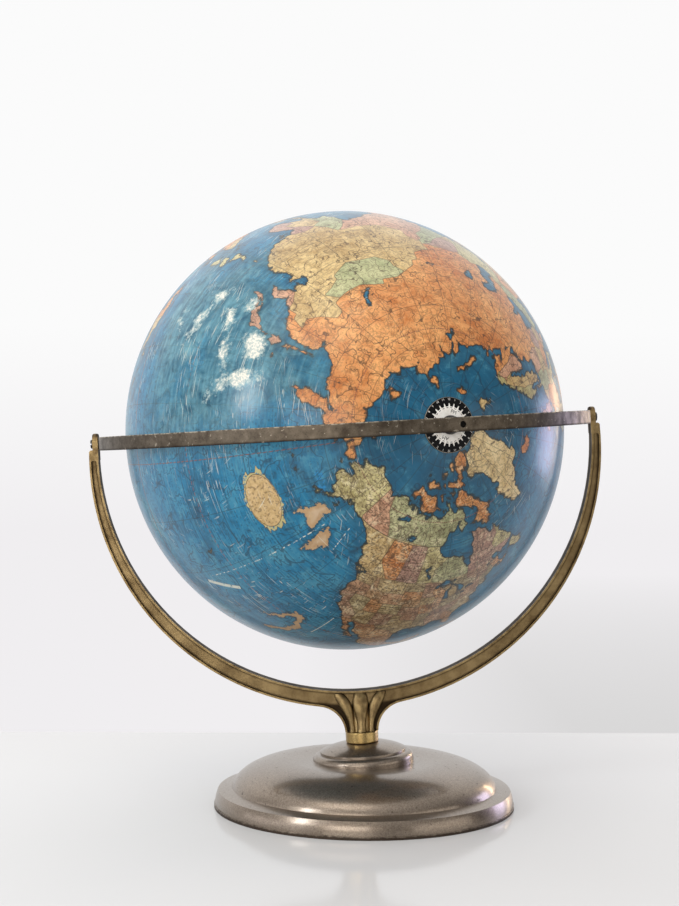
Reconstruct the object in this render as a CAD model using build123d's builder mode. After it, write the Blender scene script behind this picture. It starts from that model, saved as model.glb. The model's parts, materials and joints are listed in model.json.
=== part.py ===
from build123d import *
import os
from math import asin, cos, degrees, hypot, radians, sin, sqrt

# A twelve-inch gyroscopic desk globe. The ball turns on its poles inside a full
# meridian ring, the ring swings on two side pivots in a cast yoke, and the yoke is
# bolted through a collar and a domed plate to a pressed, stepped round base.
# The origin is the centre of the foot, on the surface the globe stands on.
# +X runs along the side pivots, +Z is up and the front faces -Y.

# Driving dimensions, in millimetres and degrees

# Ball
globe_diameter = 307.2
shell_wall = 3.0
glue_line = 0.1
hoop_height = 24.0
hoop_wall = 2.5
rod_diameter = 16.0
block_diameter = 56.0
block_depth = 14.0
axis_tilt = 23.5

# Polar pivots and hour dial
pin_diameter = 4.0
pin_sunk_length = 26.0
pin_end_recess = 0.8
running_clearance = 0.1
hub_base_diameter = 12.0
hub_top_diameter = 7.0
hub_foot_height = 1.6
end_play = 0.3
dial_diameter = 35.0
dial_thickness = 0.6

# Meridian ring
ring_gap = 16.0
ring_thickness = 2.4
ring_width = 9.2
ring_edge_radius = 0.5

# Side pivots
washer_diameter = 8.4
washer_thickness = 1.1
journal_diameter = 3.0
journal_stick_out = 1.0
thread_diameter = 3.5
head_diameter = 6.2
head_height = 1.8
head_edge_radius = 0.6
slot_width = 1.0
slot_depth = 0.9
left_slot_turn = 0.0
right_slot_turn = 55.0

# Yoke
yoke_depth = 12.0
inner_drop = 9.8
arm_top_width = 6.0
arm_bottom_width = 11.7
ear_thickness = 3.8
ear_rise = 7.3
ear_shoulder_drop = 4.3
ear_edge_radius = 1.2
shoulder_radius = 1.8
flange_width = 1.3
channel_depth = 2.4
channel_start_drop = 11.6
channel_end_radius = 1.4
flare_radius = 20.0

# Stem
lean = 3.7
lean_point_height = 18.0
neck_length = 16.7
neck_diameter = 23.2
neck_core_diameter = 17.0
collar_diameter = 23.0
collar_height = 8.5
collar_edge_radius = 1.2
plate_diameter = 60.0
plate_edge_height = 1.5
plate_rise = 5.1
plate_start_slope = 0.06
bolt_diameter = 7.9
bolt_clearance = 0.3
bolt_grip_in_yoke = 16.0
bolt_tip_gap = 1.0
bolt_head_width = 12.7
bolt_head_height = 5.2
lock_washer_diameter = 13.4
lock_washer_height = 2.0
lock_washer_split = 1.4
stem_washer_diameter = 28.0
stem_washer_thickness = 1.6

# Reeds of the knuckle: sections from the collar up, in neck radii from the stem's axis
# as (sideways, forwards, half width, half depth), at these shares of the knuckle's height
LOBE_HEIGHTS = (0.0, 0.4, 0.9, 1.0)
CENTRE_LOBE = (
    (0.0, 0.595, 0.32, 0.335),
    (0.0, 0.48, 0.355, 0.31),
    (0.0, 0.38, 0.43, 0.225),
    (0.0, 0.31, 0.335, 0.19),
)
SIDE_LOBE = (
    (0.56, 0.43, 0.215, 0.32),
    (0.69, 0.415, 0.25, 0.26),
    (1.17, 0.36, 0.36, 0.215),
    (1.31, 0.31, 0.275, 0.19),
)

# Base
base_diameter = 211.0
base_wall = 1.6
foot_width = 3.0
bead_height = 2.2
bead_step = 0.7
rim_lean_in = 2.7
rim_top_height = 11.7
ledge_width = 9.4
ledge_rise = 1.7
dome_centre_drop = 0.7
dome_height = 32.0
crest_gap = 13.0
valley_dip = 0.5
valley_gap = 3.5
boss_margin = 5.5
boss_rise = 5.5
boss_edge_radius = 4.2

# Sizes that follow from the driving dimensions
globe_radius = globe_diameter / 2
shell_inner_radius = globe_radius - shell_wall
lining_radius = shell_inner_radius - glue_line
ring_inner_radius = globe_radius + ring_gap
ring_outer_radius = ring_inner_radius + ring_thickness
ear_face = ring_outer_radius + end_play + washer_thickness
ear_outer_face = ear_face + ear_thickness
arm_outer_face = ear_face + arm_top_width
inner_radius = hypot(ear_face, inner_drop)
arm_bottom = inner_radius + inner_drop + arm_bottom_width
outer_drop = (arm_bottom**2 - arm_outer_face**2) / (2 * arm_bottom)
outer_radius = arm_bottom - outer_drop
plate_top = plate_edge_height + plate_rise
collar_top = plate_top + collar_height
neck_drop = arm_bottom + neck_length
pivot_height = neck_drop + collar_top
pin_radius = pin_diameter / 2
pin_tip = ring_outer_radius - pin_end_recess
dial_inner_radius = globe_radius + end_play
dial_outer_radius = dial_inner_radius + dial_thickness
rim_top_radius = base_diameter / 2 - rim_lean_in
dome_centre_height = rim_top_height - dome_centre_drop
boss_radius = plate_diameter / 2 + boss_margin
valley_radius = boss_radius + valley_gap
crest_radius = valley_radius + crest_gap
seat_height = dome_height + boss_rise
boss_depth = seat_height - lean_point_height
lobe_height = neck_drop - inner_drop - inner_radius - flange_width
pick_tolerance = 0.1

# Directions of the leaning stand and of the ball's own axis
up = Vector(-sin(radians(lean)), 0, cos(radians(lean)))
across = Vector(cos(radians(lean)), 0, sin(radians(lean)))
front = Vector(0, -1, 0)
lean_point = Vector(0, 0, lean_point_height)
seat_centre = lean_point + up * (seat_height - lean_point_height)
pivot_centre = seat_centre + up * pivot_height
north = across * sin(radians(axis_tilt)) + front * cos(radians(axis_tilt))

seat_plane = Plane(origin=seat_centre, x_dir=across, z_dir=up)
stem_section = Plane(origin=seat_centre, x_dir=across, z_dir=front)
yoke_plane = Plane(origin=pivot_centre, x_dir=across, z_dir=front)
ear_plane = Plane(origin=pivot_centre, x_dir=(0, 1, 0), z_dir=across)
stem_axis = Axis(seat_centre, up)
polar_axis = Axis(pivot_centre, north)
pivot_axis = Axis(pivot_centre, across)
to_axis = (Align.MIN, Align.MIN)
POLES = {"north": north, "south": north * -1}
SIDES = {"left": -1, "right": 1}
FACES = (-1, 1)
SLOT_TURNS = {"left": left_slot_turn, "right": right_slot_turn}

os.makedirs("parts", exist_ok=True)


def save(part, label):
    """Name a finished piece and write it out."""
    part.label = label
    export_step(part, f"parts/{label}.step")


def pole_section(direction):
    """A half section of the ball: x is the distance from the polar axis, y runs to the pole."""
    return Plane(origin=pivot_centre, x_dir=up, z_dir=up.cross(direction))


def spherical_layer(outside, inside):
    """The section of a round layer between two radii about the ball's centre."""
    Circle(outside)
    Circle(inside, mode=Mode.SUBTRACT)


def keep_between(x_from, x_to, y_from, y_to):
    """Trim the sketch to a window in its own plane."""
    with Locations((x_from, y_from)):
        Rectangle(x_to - x_from, y_to - y_from, align=to_axis, mode=Mode.INTERSECT)


# Base shell: a pressed steel dome with a beaded rim and a boss that leans with the stem
def base_section(inset):
    """Half section of the base under its skin, each face moved inwards by inset."""
    rim = base_diameter / 2 - inset
    rim_shoulder = rim - bead_step
    rim_top = (rim_top_radius - inset, rim_top_height - inset)
    reach = rim_top_radius - ledge_width - inset - crest_radius
    rise = dome_height - dome_centre_height - inset
    ledge_height = rim_top_height + ledge_rise - inset
    dome_start = asin((ledge_height - dome_centre_height) / rise)
    dome_foot = (crest_radius + reach * cos(dome_start), ledge_height)
    crest = (crest_radius, dome_height - inset)
    valley = (valley_radius, dome_height - valley_dip - inset)
    valley_middle = ((crest[0] + valley[0]) / 2, crest[1] - valley_dip / 4)
    with BuildLine() as outline:
        Polyline((0, 0), (rim, 0), (rim, bead_height), (rim_shoulder, bead_height))
        ThreePointArc(
            (rim_shoulder, bead_height),
            (rim_shoulder - bead_step / 2, (bead_height + rim_top[1]) / 2),
            rim_top,
        )
        Line(rim_top, dome_foot)
        EllipticalCenterArc(
            (crest_radius, dome_centre_height),
            reach,
            rise,
            start_angle=degrees(dome_start),
            arc_size=90 - degrees(dome_start),
        )
        ThreePointArc(crest, valley_middle, valley)
        Polyline(valley, (0, valley[1]), (0, 0))
    make_face(outline.edges())


with BuildPart() as base_shell:
    with BuildSketch(Plane.XZ):
        base_section(0)
    revolve(axis=Axis.Z)
    with BuildSketch(seat_plane):
        Circle(boss_radius)
    extrude(amount=-boss_depth)
    boss_edge = base_shell.edges().filter_by(GeomType.CIRCLE).filter_by(
        lambda edge: (edge.arc_center - seat_centre).length < base_wall
    )
    fillet(boss_edge, boss_edge_radius)
    with BuildSketch(Plane.XZ):
        base_section(base_wall)
    revolve(axis=Axis.Z, mode=Mode.SUBTRACT)
    with BuildSketch(seat_plane.offset(-base_wall)):
        Circle(boss_radius - base_wall)
    extrude(amount=-boss_depth, mode=Mode.SUBTRACT)
    boss_corner = base_shell.edges().filter_by(GeomType.CIRCLE).filter_by(
        lambda edge: abs(edge.radius - boss_radius + base_wall) < pick_tolerance
    )
    fillet(boss_corner, boss_edge_radius - base_wall)
    with BuildSketch(seat_plane):
        Circle(bolt_diameter / 2 + bolt_clearance)
    extrude(amount=-boss_depth, mode=Mode.SUBTRACT)
    with BuildSketch(Plane.XY):
        Circle(base_diameter / 2 - base_wall / 2)
        Circle(base_diameter / 2 - foot_width, mode=Mode.SUBTRACT)
    extrude(amount=bead_height)
save(base_shell.part, "base_shell")

# Domed plate between base and collar
with BuildPart() as cover_plate:
    with BuildSketch(stem_section):
        with BuildLine():
            bore = (bolt_diameter / 2 + bolt_clearance, 0)
            seat_edge = (collar_diameter / 2 + end_play, plate_top)
            rim = (plate_diameter / 2, plate_edge_height)
            Line(bore, (plate_diameter / 2, 0))
            Line((plate_diameter / 2, 0), rim)
            TangentArc([seat_edge, rim], tangent=(1, -plate_start_slope))
            Polyline(seat_edge, (bore[0], plate_top), bore)
        make_face()
    revolve(axis=stem_axis)
save(cover_plate.part, "cover_plate")

# Brass collar under the yoke
with BuildPart() as collar:
    with BuildSketch(seat_plane.offset(plate_top)):
        Circle(collar_diameter / 2)
        Circle(bolt_diameter / 2 + bolt_clearance, mode=Mode.SUBTRACT)
    extrude(amount=collar_height)
    collar_rims = collar.edges().filter_by(GeomType.CIRCLE).filter_by(
        lambda edge: abs(edge.radius - collar_diameter / 2) < pick_tolerance
    )
    fillet(collar_rims, collar_edge_radius)
save(collar.part, "collar")


# Yoke: a cast crescent with a sunk channel on both faces and a reeded knuckle
def yoke_outline(sketch, inset, top):
    """Front view of the crescent and its flared neck, drawn in by inset and cut off level at the top."""
    neck_half = neck_diameter / 2 - inset
    neck_end = neck_drop + 2 * flare_radius
    with Locations((0, -outer_drop)):
        Circle(outer_radius - inset)
    with Locations((0, -inner_drop)):
        Circle(inner_radius + inset, mode=Mode.SUBTRACT)
    with Locations((-neck_half, -neck_end)):
        Rectangle(2 * neck_half, neck_end - inner_drop - inner_radius - inset, align=to_axis)
    neck_corners = sketch.vertices().filter_by(
        lambda v: abs(abs(v.X) - neck_half) < pick_tolerance and -neck_drop < v.Y < -outer_radius
    )
    fillet(neck_corners, flare_radius + inset)
    keep_between(-arm_bottom, arm_bottom, -neck_drop, top)


def lobe(sections, side, face):
    """One reed of the knuckle, lofted through ellipses (x, reach, half width, half depth)."""
    unit = neck_diameter / 2
    faces = []
    for height, (x, reach, half_width, half_depth) in zip(LOBE_HEIGHTS, sections):
        with BuildSketch(seat_plane.offset(collar_top + height * lobe_height)) as section:
            with Locations((side * x * unit, face * reach * unit)):
                Ellipse(half_width * unit, half_depth * unit)
        faces.append(section.sketch.face())
    loft(faces)


with BuildPart() as yoke:
    with BuildSketch(yoke_plane) as crescent:
        yoke_outline(crescent, 0, -ear_shoulder_drop)
        for side in SIDES.values():
            ear_from = min(side * ear_face, side * ear_outer_face)
            with Locations((ear_from, -channel_start_drop)):
                Rectangle(ear_thickness, channel_start_drop + ear_rise, align=to_axis)
        ear_corners = crescent.vertices().filter_by(lambda v: v.Y > ear_rise - pick_tolerance)
        fillet(ear_corners, ear_edge_radius)
        shoulder = crescent.vertices().filter_by(
            lambda v: abs(v.Y + ear_shoulder_drop) < pick_tolerance
            and abs(v.X) > ear_outer_face + pick_tolerance
        )
        fillet(shoulder, shoulder_radius)
    extrude(amount=yoke_depth / 2, both=True)
    with BuildSketch(ear_plane):
        with Locations((0, ear_rise - yoke_depth / 2)):
            Rectangle(2 * yoke_depth, yoke_depth, align=(Align.CENTER, Align.MIN))
            Circle(yoke_depth / 2, mode=Mode.SUBTRACT)
    extrude(amount=arm_bottom, both=True, mode=Mode.SUBTRACT)
    for face in FACES:
        with BuildSketch(yoke_plane.offset(face * yoke_depth / 2)) as channel:
            yoke_outline(channel, flange_width, -channel_start_drop)
            channel_ends = channel.vertices().filter_by(lambda v: v.Y > -channel_start_drop - pick_tolerance)
            fillet(channel_ends, channel_end_radius)
        extrude(amount=-face * channel_depth, mode=Mode.SUBTRACT)
    with BuildSketch(seat_plane.offset(collar_top)):
        Circle(neck_core_diameter / 2)
    with BuildSketch(seat_plane.offset(collar_top + lobe_height)):
        Ellipse(neck_core_diameter / 2, yoke_depth / 2 - channel_depth)
    loft()
    for face in FACES:
        lobe(CENTRE_LOBE, 0, face)
        for side in SIDES.values():
            lobe(SIDE_LOBE, side, face)
    with BuildSketch(seat_plane.offset(collar_top)):
        Circle(bolt_diameter / 2)
    extrude(amount=bolt_grip_in_yoke + bolt_tip_gap, mode=Mode.SUBTRACT)
    with BuildSketch(ear_plane):
        Circle(thread_diameter / 2)
    extrude(amount=arm_bottom, both=True, mode=Mode.SUBTRACT)
save(yoke.part, "yoke")

# Bolt, washer and lock washer that clamp the stack from under the base
with BuildPart() as stem_washer:
    with BuildSketch(seat_plane.offset(-base_wall)):
        Circle(stem_washer_diameter / 2)
        Circle(bolt_diameter / 2 + bolt_clearance, mode=Mode.SUBTRACT)
    extrude(amount=-stem_washer_thickness)
save(stem_washer.part, "stem_washer")

lock_washer_level = -base_wall - stem_washer_thickness
with BuildPart() as lock_washer:
    with BuildSketch(seat_plane.offset(lock_washer_level)):
        Circle(lock_washer_diameter / 2)
        Circle(bolt_diameter / 2 + bolt_clearance, mode=Mode.SUBTRACT)
        Rectangle(
            lock_washer_diameter, lock_washer_split, align=(Align.MIN, Align.CENTER), mode=Mode.SUBTRACT
        )
    extrude(amount=-lock_washer_height)
save(lock_washer.part, "lock_washer")

bolt_head_level = lock_washer_level - lock_washer_height
with BuildPart() as stem_bolt:
    with BuildSketch(seat_plane.offset(bolt_head_level)):
        RegularPolygon(bolt_head_width / 2, 6, major_radius=False)
    extrude(amount=-bolt_head_height)
    with BuildSketch(seat_plane.offset(bolt_head_level)):
        Circle(bolt_diameter / 2)
    extrude(amount=collar_top + bolt_grip_in_yoke - bolt_head_level)
save(stem_bolt.part, "stem_bolt")

# Side pivots: slotted screws in the ears, whose plain tips carry the ring
for name, side in SIDES.items():
    section = Plane(origin=pivot_centre, x_dir=across * side, z_dir=front * side)
    with BuildPart() as screw:
        with BuildSketch(section):
            with BuildLine():
                Polyline(
                    (ring_inner_radius - journal_stick_out, 0),
                    (ring_inner_radius - journal_stick_out, journal_diameter / 2),
                    (ear_face, journal_diameter / 2),
                    (ear_face, thread_diameter / 2),
                    (ear_outer_face, thread_diameter / 2),
                    (ear_outer_face, head_diameter / 2),
                    (ear_outer_face + head_height - head_edge_radius, head_diameter / 2),
                )
                RadiusArc(
                    (ear_outer_face + head_height - head_edge_radius, head_diameter / 2),
                    (ear_outer_face + head_height, head_diameter / 2 - head_edge_radius),
                    head_edge_radius,
                )
                Polyline(
                    (ear_outer_face + head_height, head_diameter / 2 - head_edge_radius),
                    (ear_outer_face + head_height, 0),
                    (ring_inner_radius - journal_stick_out, 0),
                )
            make_face()
        revolve(axis=pivot_axis)
        head_face = Plane(
            origin=pivot_centre + across * side * (ear_outer_face + head_height),
            x_dir=(0, 1, 0),
            z_dir=across * side,
        )
        with BuildSketch(head_face):
            with Locations(Rotation(0, 0, SLOT_TURNS[name])):
                Rectangle(head_diameter, slot_width)
        extrude(amount=-slot_depth, mode=Mode.SUBTRACT)
    save(screw.part, f"{name}_pivot_screw")

    washer_face = Plane(
        origin=pivot_centre + across * side * ear_face, x_dir=(0, 1, 0), z_dir=across * side
    )
    with BuildPart() as washer:
        with BuildSketch(washer_face):
            Circle(washer_diameter / 2)
            Circle(journal_diameter / 2 + running_clearance, mode=Mode.SUBTRACT)
        extrude(amount=-washer_thickness)
    save(washer.part, f"{name}_pivot_washer")

# Meridian ring: a flat brass hoop with holes for the side pivots and the poles
with BuildPart() as meridian_ring:
    with BuildSketch(yoke_plane):
        with Locations((ring_inner_radius, 0)):
            RectangleRounded(
                ring_thickness, ring_width, ring_edge_radius, align=(Align.MIN, Align.CENTER)
            )
    revolve(axis=Axis(pivot_centre, up))
    for direction, radius in ((across, journal_diameter / 2), (north, pin_radius)):
        with BuildSketch(Plane(origin=pivot_centre, z_dir=direction)):
            Circle(radius + running_clearance)
        extrude(amount=ring_outer_radius + end_play, both=True, mode=Mode.SUBTRACT)
save(meridian_ring.part, "meridian_ring")

# Ball: two pressed-board shells on a hoop, a dowel and two turned blocks
rod_end = sqrt(lining_radius**2 - (rod_diameter / 2) ** 2)
pin_root = rod_end - pin_sunk_length

for name, direction in POLES.items():
    with BuildPart() as hemisphere:
        with BuildSketch(pole_section(direction)):
            spherical_layer(globe_radius, shell_inner_radius)
            keep_between(pin_radius + running_clearance, globe_radius, 0, globe_radius)
        revolve(axis=polar_axis)
    save(hemisphere.part, f"{name}_hemisphere")

    with BuildPart() as block:
        with BuildSketch(pole_section(direction)):
            Circle(lining_radius)
            keep_between(
                rod_diameter / 2 + running_clearance, block_diameter / 2, rod_end - block_depth, globe_radius
            )
        revolve(axis=polar_axis)
    save(block.part, f"{name}_pole_block")

    with BuildPart() as pin:
        with BuildSketch(pole_section(direction)):
            with Locations((0, pin_root)):
                Rectangle(pin_radius, pin_tip - pin_root, align=to_axis)
        revolve(axis=polar_axis)
    save(pin.part, f"{name}_pivot_pin")

    hub_foot = (dial_outer_radius if name == "north" else globe_radius) + end_play
    hub_top = ring_inner_radius - end_play
    with BuildPart() as hub:
        with BuildSketch(pole_section(direction)):
            with BuildLine():
                Polyline(
                    (pin_radius, hub_foot),
                    (hub_base_diameter / 2, hub_foot),
                    (hub_base_diameter / 2, hub_foot + hub_foot_height),
                    (hub_top_diameter / 2, hub_top),
                    (pin_radius, hub_top),
                    close=True,
                )
            make_face()
        revolve(axis=polar_axis)
    save(hub.part, f"{name}_hub")

with BuildPart() as equator_hoop:
    with BuildSketch(pole_section(north)):
        Circle(lining_radius)
        keep_between(lining_radius - hoop_wall, lining_radius, -hoop_height / 2, hoop_height / 2)
    revolve(axis=polar_axis)
save(equator_hoop.part, "equator_hoop")

with BuildPart() as axis_rod:
    with BuildSketch(Plane(origin=pivot_centre, z_dir=north)):
        Circle(rod_diameter / 2)
    extrude(amount=rod_end, both=True)
    for direction in POLES.values():
        with BuildSketch(Plane(origin=pivot_centre + direction * rod_end, z_dir=direction)):
            Circle(pin_radius)
        extrude(amount=-pin_sunk_length, mode=Mode.SUBTRACT)
save(axis_rod.part, "axis_rod")

# Hour dial: a dished disc that turns by hand round the north pin
with BuildPart() as hour_dial:
    with BuildSketch(pole_section(north)):
        spherical_layer(dial_outer_radius, dial_inner_radius)
        keep_between(pin_radius + running_clearance, dial_diameter / 2, 0, dial_outer_radius)
    revolve(axis=polar_axis)
save(hour_dial.part, "hour_dial")
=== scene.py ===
"""Dresses a twelve-inch gyroscopic desk globe: printed ball, hour dial, ring, yoke and base."""

import json
import logging
import math
from dataclasses import dataclass, field
from enum import Enum
from typing import Sequence, Union

import bpy
import numpy as np
from bpy.types import Material, Mesh, Node, NodeSocket, NodeTree, Object
from mathutils import Matrix, Vector


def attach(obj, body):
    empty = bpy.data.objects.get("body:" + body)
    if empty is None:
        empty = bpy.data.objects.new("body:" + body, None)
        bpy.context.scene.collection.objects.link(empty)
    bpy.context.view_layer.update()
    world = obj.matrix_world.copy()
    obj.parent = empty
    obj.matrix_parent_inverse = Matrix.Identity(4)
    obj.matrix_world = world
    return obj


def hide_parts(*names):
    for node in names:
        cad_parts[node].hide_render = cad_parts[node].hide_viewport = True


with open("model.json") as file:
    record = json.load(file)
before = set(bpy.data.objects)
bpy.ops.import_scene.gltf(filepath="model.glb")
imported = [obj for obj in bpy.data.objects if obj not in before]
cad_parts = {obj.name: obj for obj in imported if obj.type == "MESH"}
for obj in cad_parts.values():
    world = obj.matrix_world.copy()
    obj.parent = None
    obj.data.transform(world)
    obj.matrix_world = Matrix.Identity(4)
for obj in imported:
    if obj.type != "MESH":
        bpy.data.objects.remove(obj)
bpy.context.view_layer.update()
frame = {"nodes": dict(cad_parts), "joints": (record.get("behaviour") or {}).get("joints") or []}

log = logging.getLogger("globe")
Feed = Union[Node, NodeSocket, float, Sequence[float]]
Feeds = Union[dict[Union[int, str], Feed], Sequence[Feed]]
Colour = Union[str, Feed]
Spot = tuple[float, float, float]

MM = 0.001
# Radius of the ball, a degree of latitude on it, and how far outside an outline its depth is measured
BALL_MM = 153.6
DEGREE_MM = 2.68
MARGIN_MM = 14.0
# A heading that no outline's middle lies along
ASKEW = (0.31, 0.17, 0.93)

# A range's feeds in order: the value, its low and high, and what they become
VECTOR, RANGE, MIX = "ShaderNodeVectorMath", "ShaderNodeMapRange", "ShaderNodeMix"
NOISE, CELLS, BUMP = "ShaderNodeTexNoise", "ShaderNodeTexVoronoi", "ShaderNodeBump"
PLACE, SPLIT, JOIN = "ShaderNodeTexCoord", "ShaderNodeSeparateXYZ", "ShaderNodeCombineXYZ"


def linear(hex_colour: str) -> tuple[float, float, float, float]:
    """Turn an sRGB hex colour into linear RGBA.

    Args:
        hex_colour: Six hex digits with a leading hash.

    Returns:
        Linear red, green, blue and an alpha of one.
    """
    channels = [int(hex_colour[i : i + 2], 16) / 255 for i in (1, 3, 5)]
    red, green, blue = (c / 12.92 if c <= 0.04045 else ((c + 0.055) / 1.055) ** 2.4 for c in channels)
    return (red, green, blue, 1.0)


def per_mm(size: float) -> float:
    """Texture scale whose features are about this many millimetres across."""
    return 1 / (size * MM)


def unit(vector: np.ndarray) -> np.ndarray:
    """The same direction with a length of one."""
    return vector / np.linalg.norm(vector)


def add(tree: NodeTree, kind: str, feeds: Feeds = (), **settings: object) -> Node:
    """Add a node, set its properties and feed its inputs.

    Args:
        tree: Tree that gets the node.
        kind: Blender's identifier of the node type, or a Math node's operation in capitals.
        feeds: A value, a socket, or a node whose first live output is linked, for each input by its
            name or number, or for the first inputs in their order.
        **settings: Properties of the node.

    Returns:
        The new node.
    """
    if kind.isupper():
        kind, settings = "ShaderNodeMath", {"operation": kind}
    made = tree.nodes.new(kind)
    for key, value in settings.items():
        setattr(made, key, value)
    for key, value in feeds.items() if isinstance(feeds, dict) else enumerate(feeds):
        if isinstance(value, Node):
            value = next(socket for socket in value.outputs if socket.enabled)
        if isinstance(value, NodeSocket):
            tree.links.new(value, made.inputs[key])
        else:
            made.inputs[key].default_value = value
    return made


def lay(tree: NodeTree, ground: Colour, *layers: tuple[Feed, Colour]) -> Feed:
    """Lay colours over each other, each as sRGB hex or a socket.

    Args:
        tree: Tree of the material.
        ground: Lowest colour.
        *layers: For each next colour the share that it covers, and the colour.

    Returns:
        The mixed colour.
    """
    below = linear(ground) if isinstance(ground, str) else ground
    for share, colour in layers:
        upper = linear(colour) if isinstance(colour, str) else colour
        below = add(tree, MIX, {0: share, 6: below, 7: upper}, data_type="RGBA")
    return below


def most(tree: NodeTree, *shares: Feed) -> Feed:
    """Take the largest of several shares.

    Args:
        tree: Tree of the material.
        *shares: The shares.

    Returns:
        The largest at each point.
    """
    top = shares[0]
    for share in shares[1:]:
        top = add(tree, "MAXIMUM", (top, share))
    return top


def new_material(name: str) -> tuple[Material, NodeTree, NodeSocket]:
    """Make an empty node material.

    Args:
        name: Name of the real material.

    Returns:
        The material, its cleared node tree and the object coordinates in it.
    """
    material = bpy.data.materials.new(name)
    material.use_nodes = True
    tree = material.node_tree
    tree.nodes.clear()
    return material, tree, add(tree, PLACE).outputs["Object"]


def finish_material(tree: NodeTree, feeds: Feeds) -> None:
    """Close a tree with a Principled shader and the material output.

    Args:
        tree: Tree of the material.
        feeds: Inputs of the shader.
    """
    shader = add(tree, "ShaderNodeBsdfPrincipled", feeds)
    add(tree, "ShaderNodeOutputMaterial", {"Surface": shader})


class Ink(Enum):
    """Printing inks of the land, each with its light and its dark tone."""

    BUFF = ("#e0c58c", "#ad8d56")
    ORANGE = ("#eaad6c", "#bf7236")
    STRAW = ("#d6cb92", "#a39660")
    SAGE = ("#c3c293", "#8d9468")
    ROSE = ("#dcae8c", "#ad7a5c")
    MAUVE = ("#cba690", "#9a7060")
    CREAM = ("#f3dfae", "#cfb27a")

    @property
    def depth_name(self) -> str:
        """Name of the attribute that holds the depth inside this ink's lands."""
        return f"ink_{self.name.lower()}"

    def mottled(self, tree: NodeTree, share: Feed) -> Feed:
        """The light tone with the dark one over a share of it."""
        light, dark = self.value
        return lay(tree, light, (share, dark))


OVERPRINTS = [ink for ink in Ink if ink is not Ink.BUFF]


def directions(path: str) -> np.ndarray:
    """Find the corners of a line on the ball.

    Args:
        path: Longitude and latitude in degrees of each corner, with commas between the corners.

    Returns:
        One unit vector in the ball's own frame for each corner.
    """
    degrees = np.array([[float(v) for v in pair.split()] for pair in path.split(",")])
    lon, lat = np.radians(degrees).T
    return np.stack([np.cos(lat) * np.cos(lon), np.cos(lat) * np.sin(lon), np.sin(lat)], axis=1)


@dataclass(frozen=True)
class Mark:
    """An oval spot on the ball: middle in degrees, half sizes in millimetres and turn in degrees."""

    lon: float
    lat: float
    half_width: float
    half_height: float
    turn: float = 0.0


@dataclass(frozen=True)
class Scrape:
    """A straight scrape: its ends in degrees, half width in millimetres, and whether it skips."""

    ends: str
    half_width: float
    skips: bool = False


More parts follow.
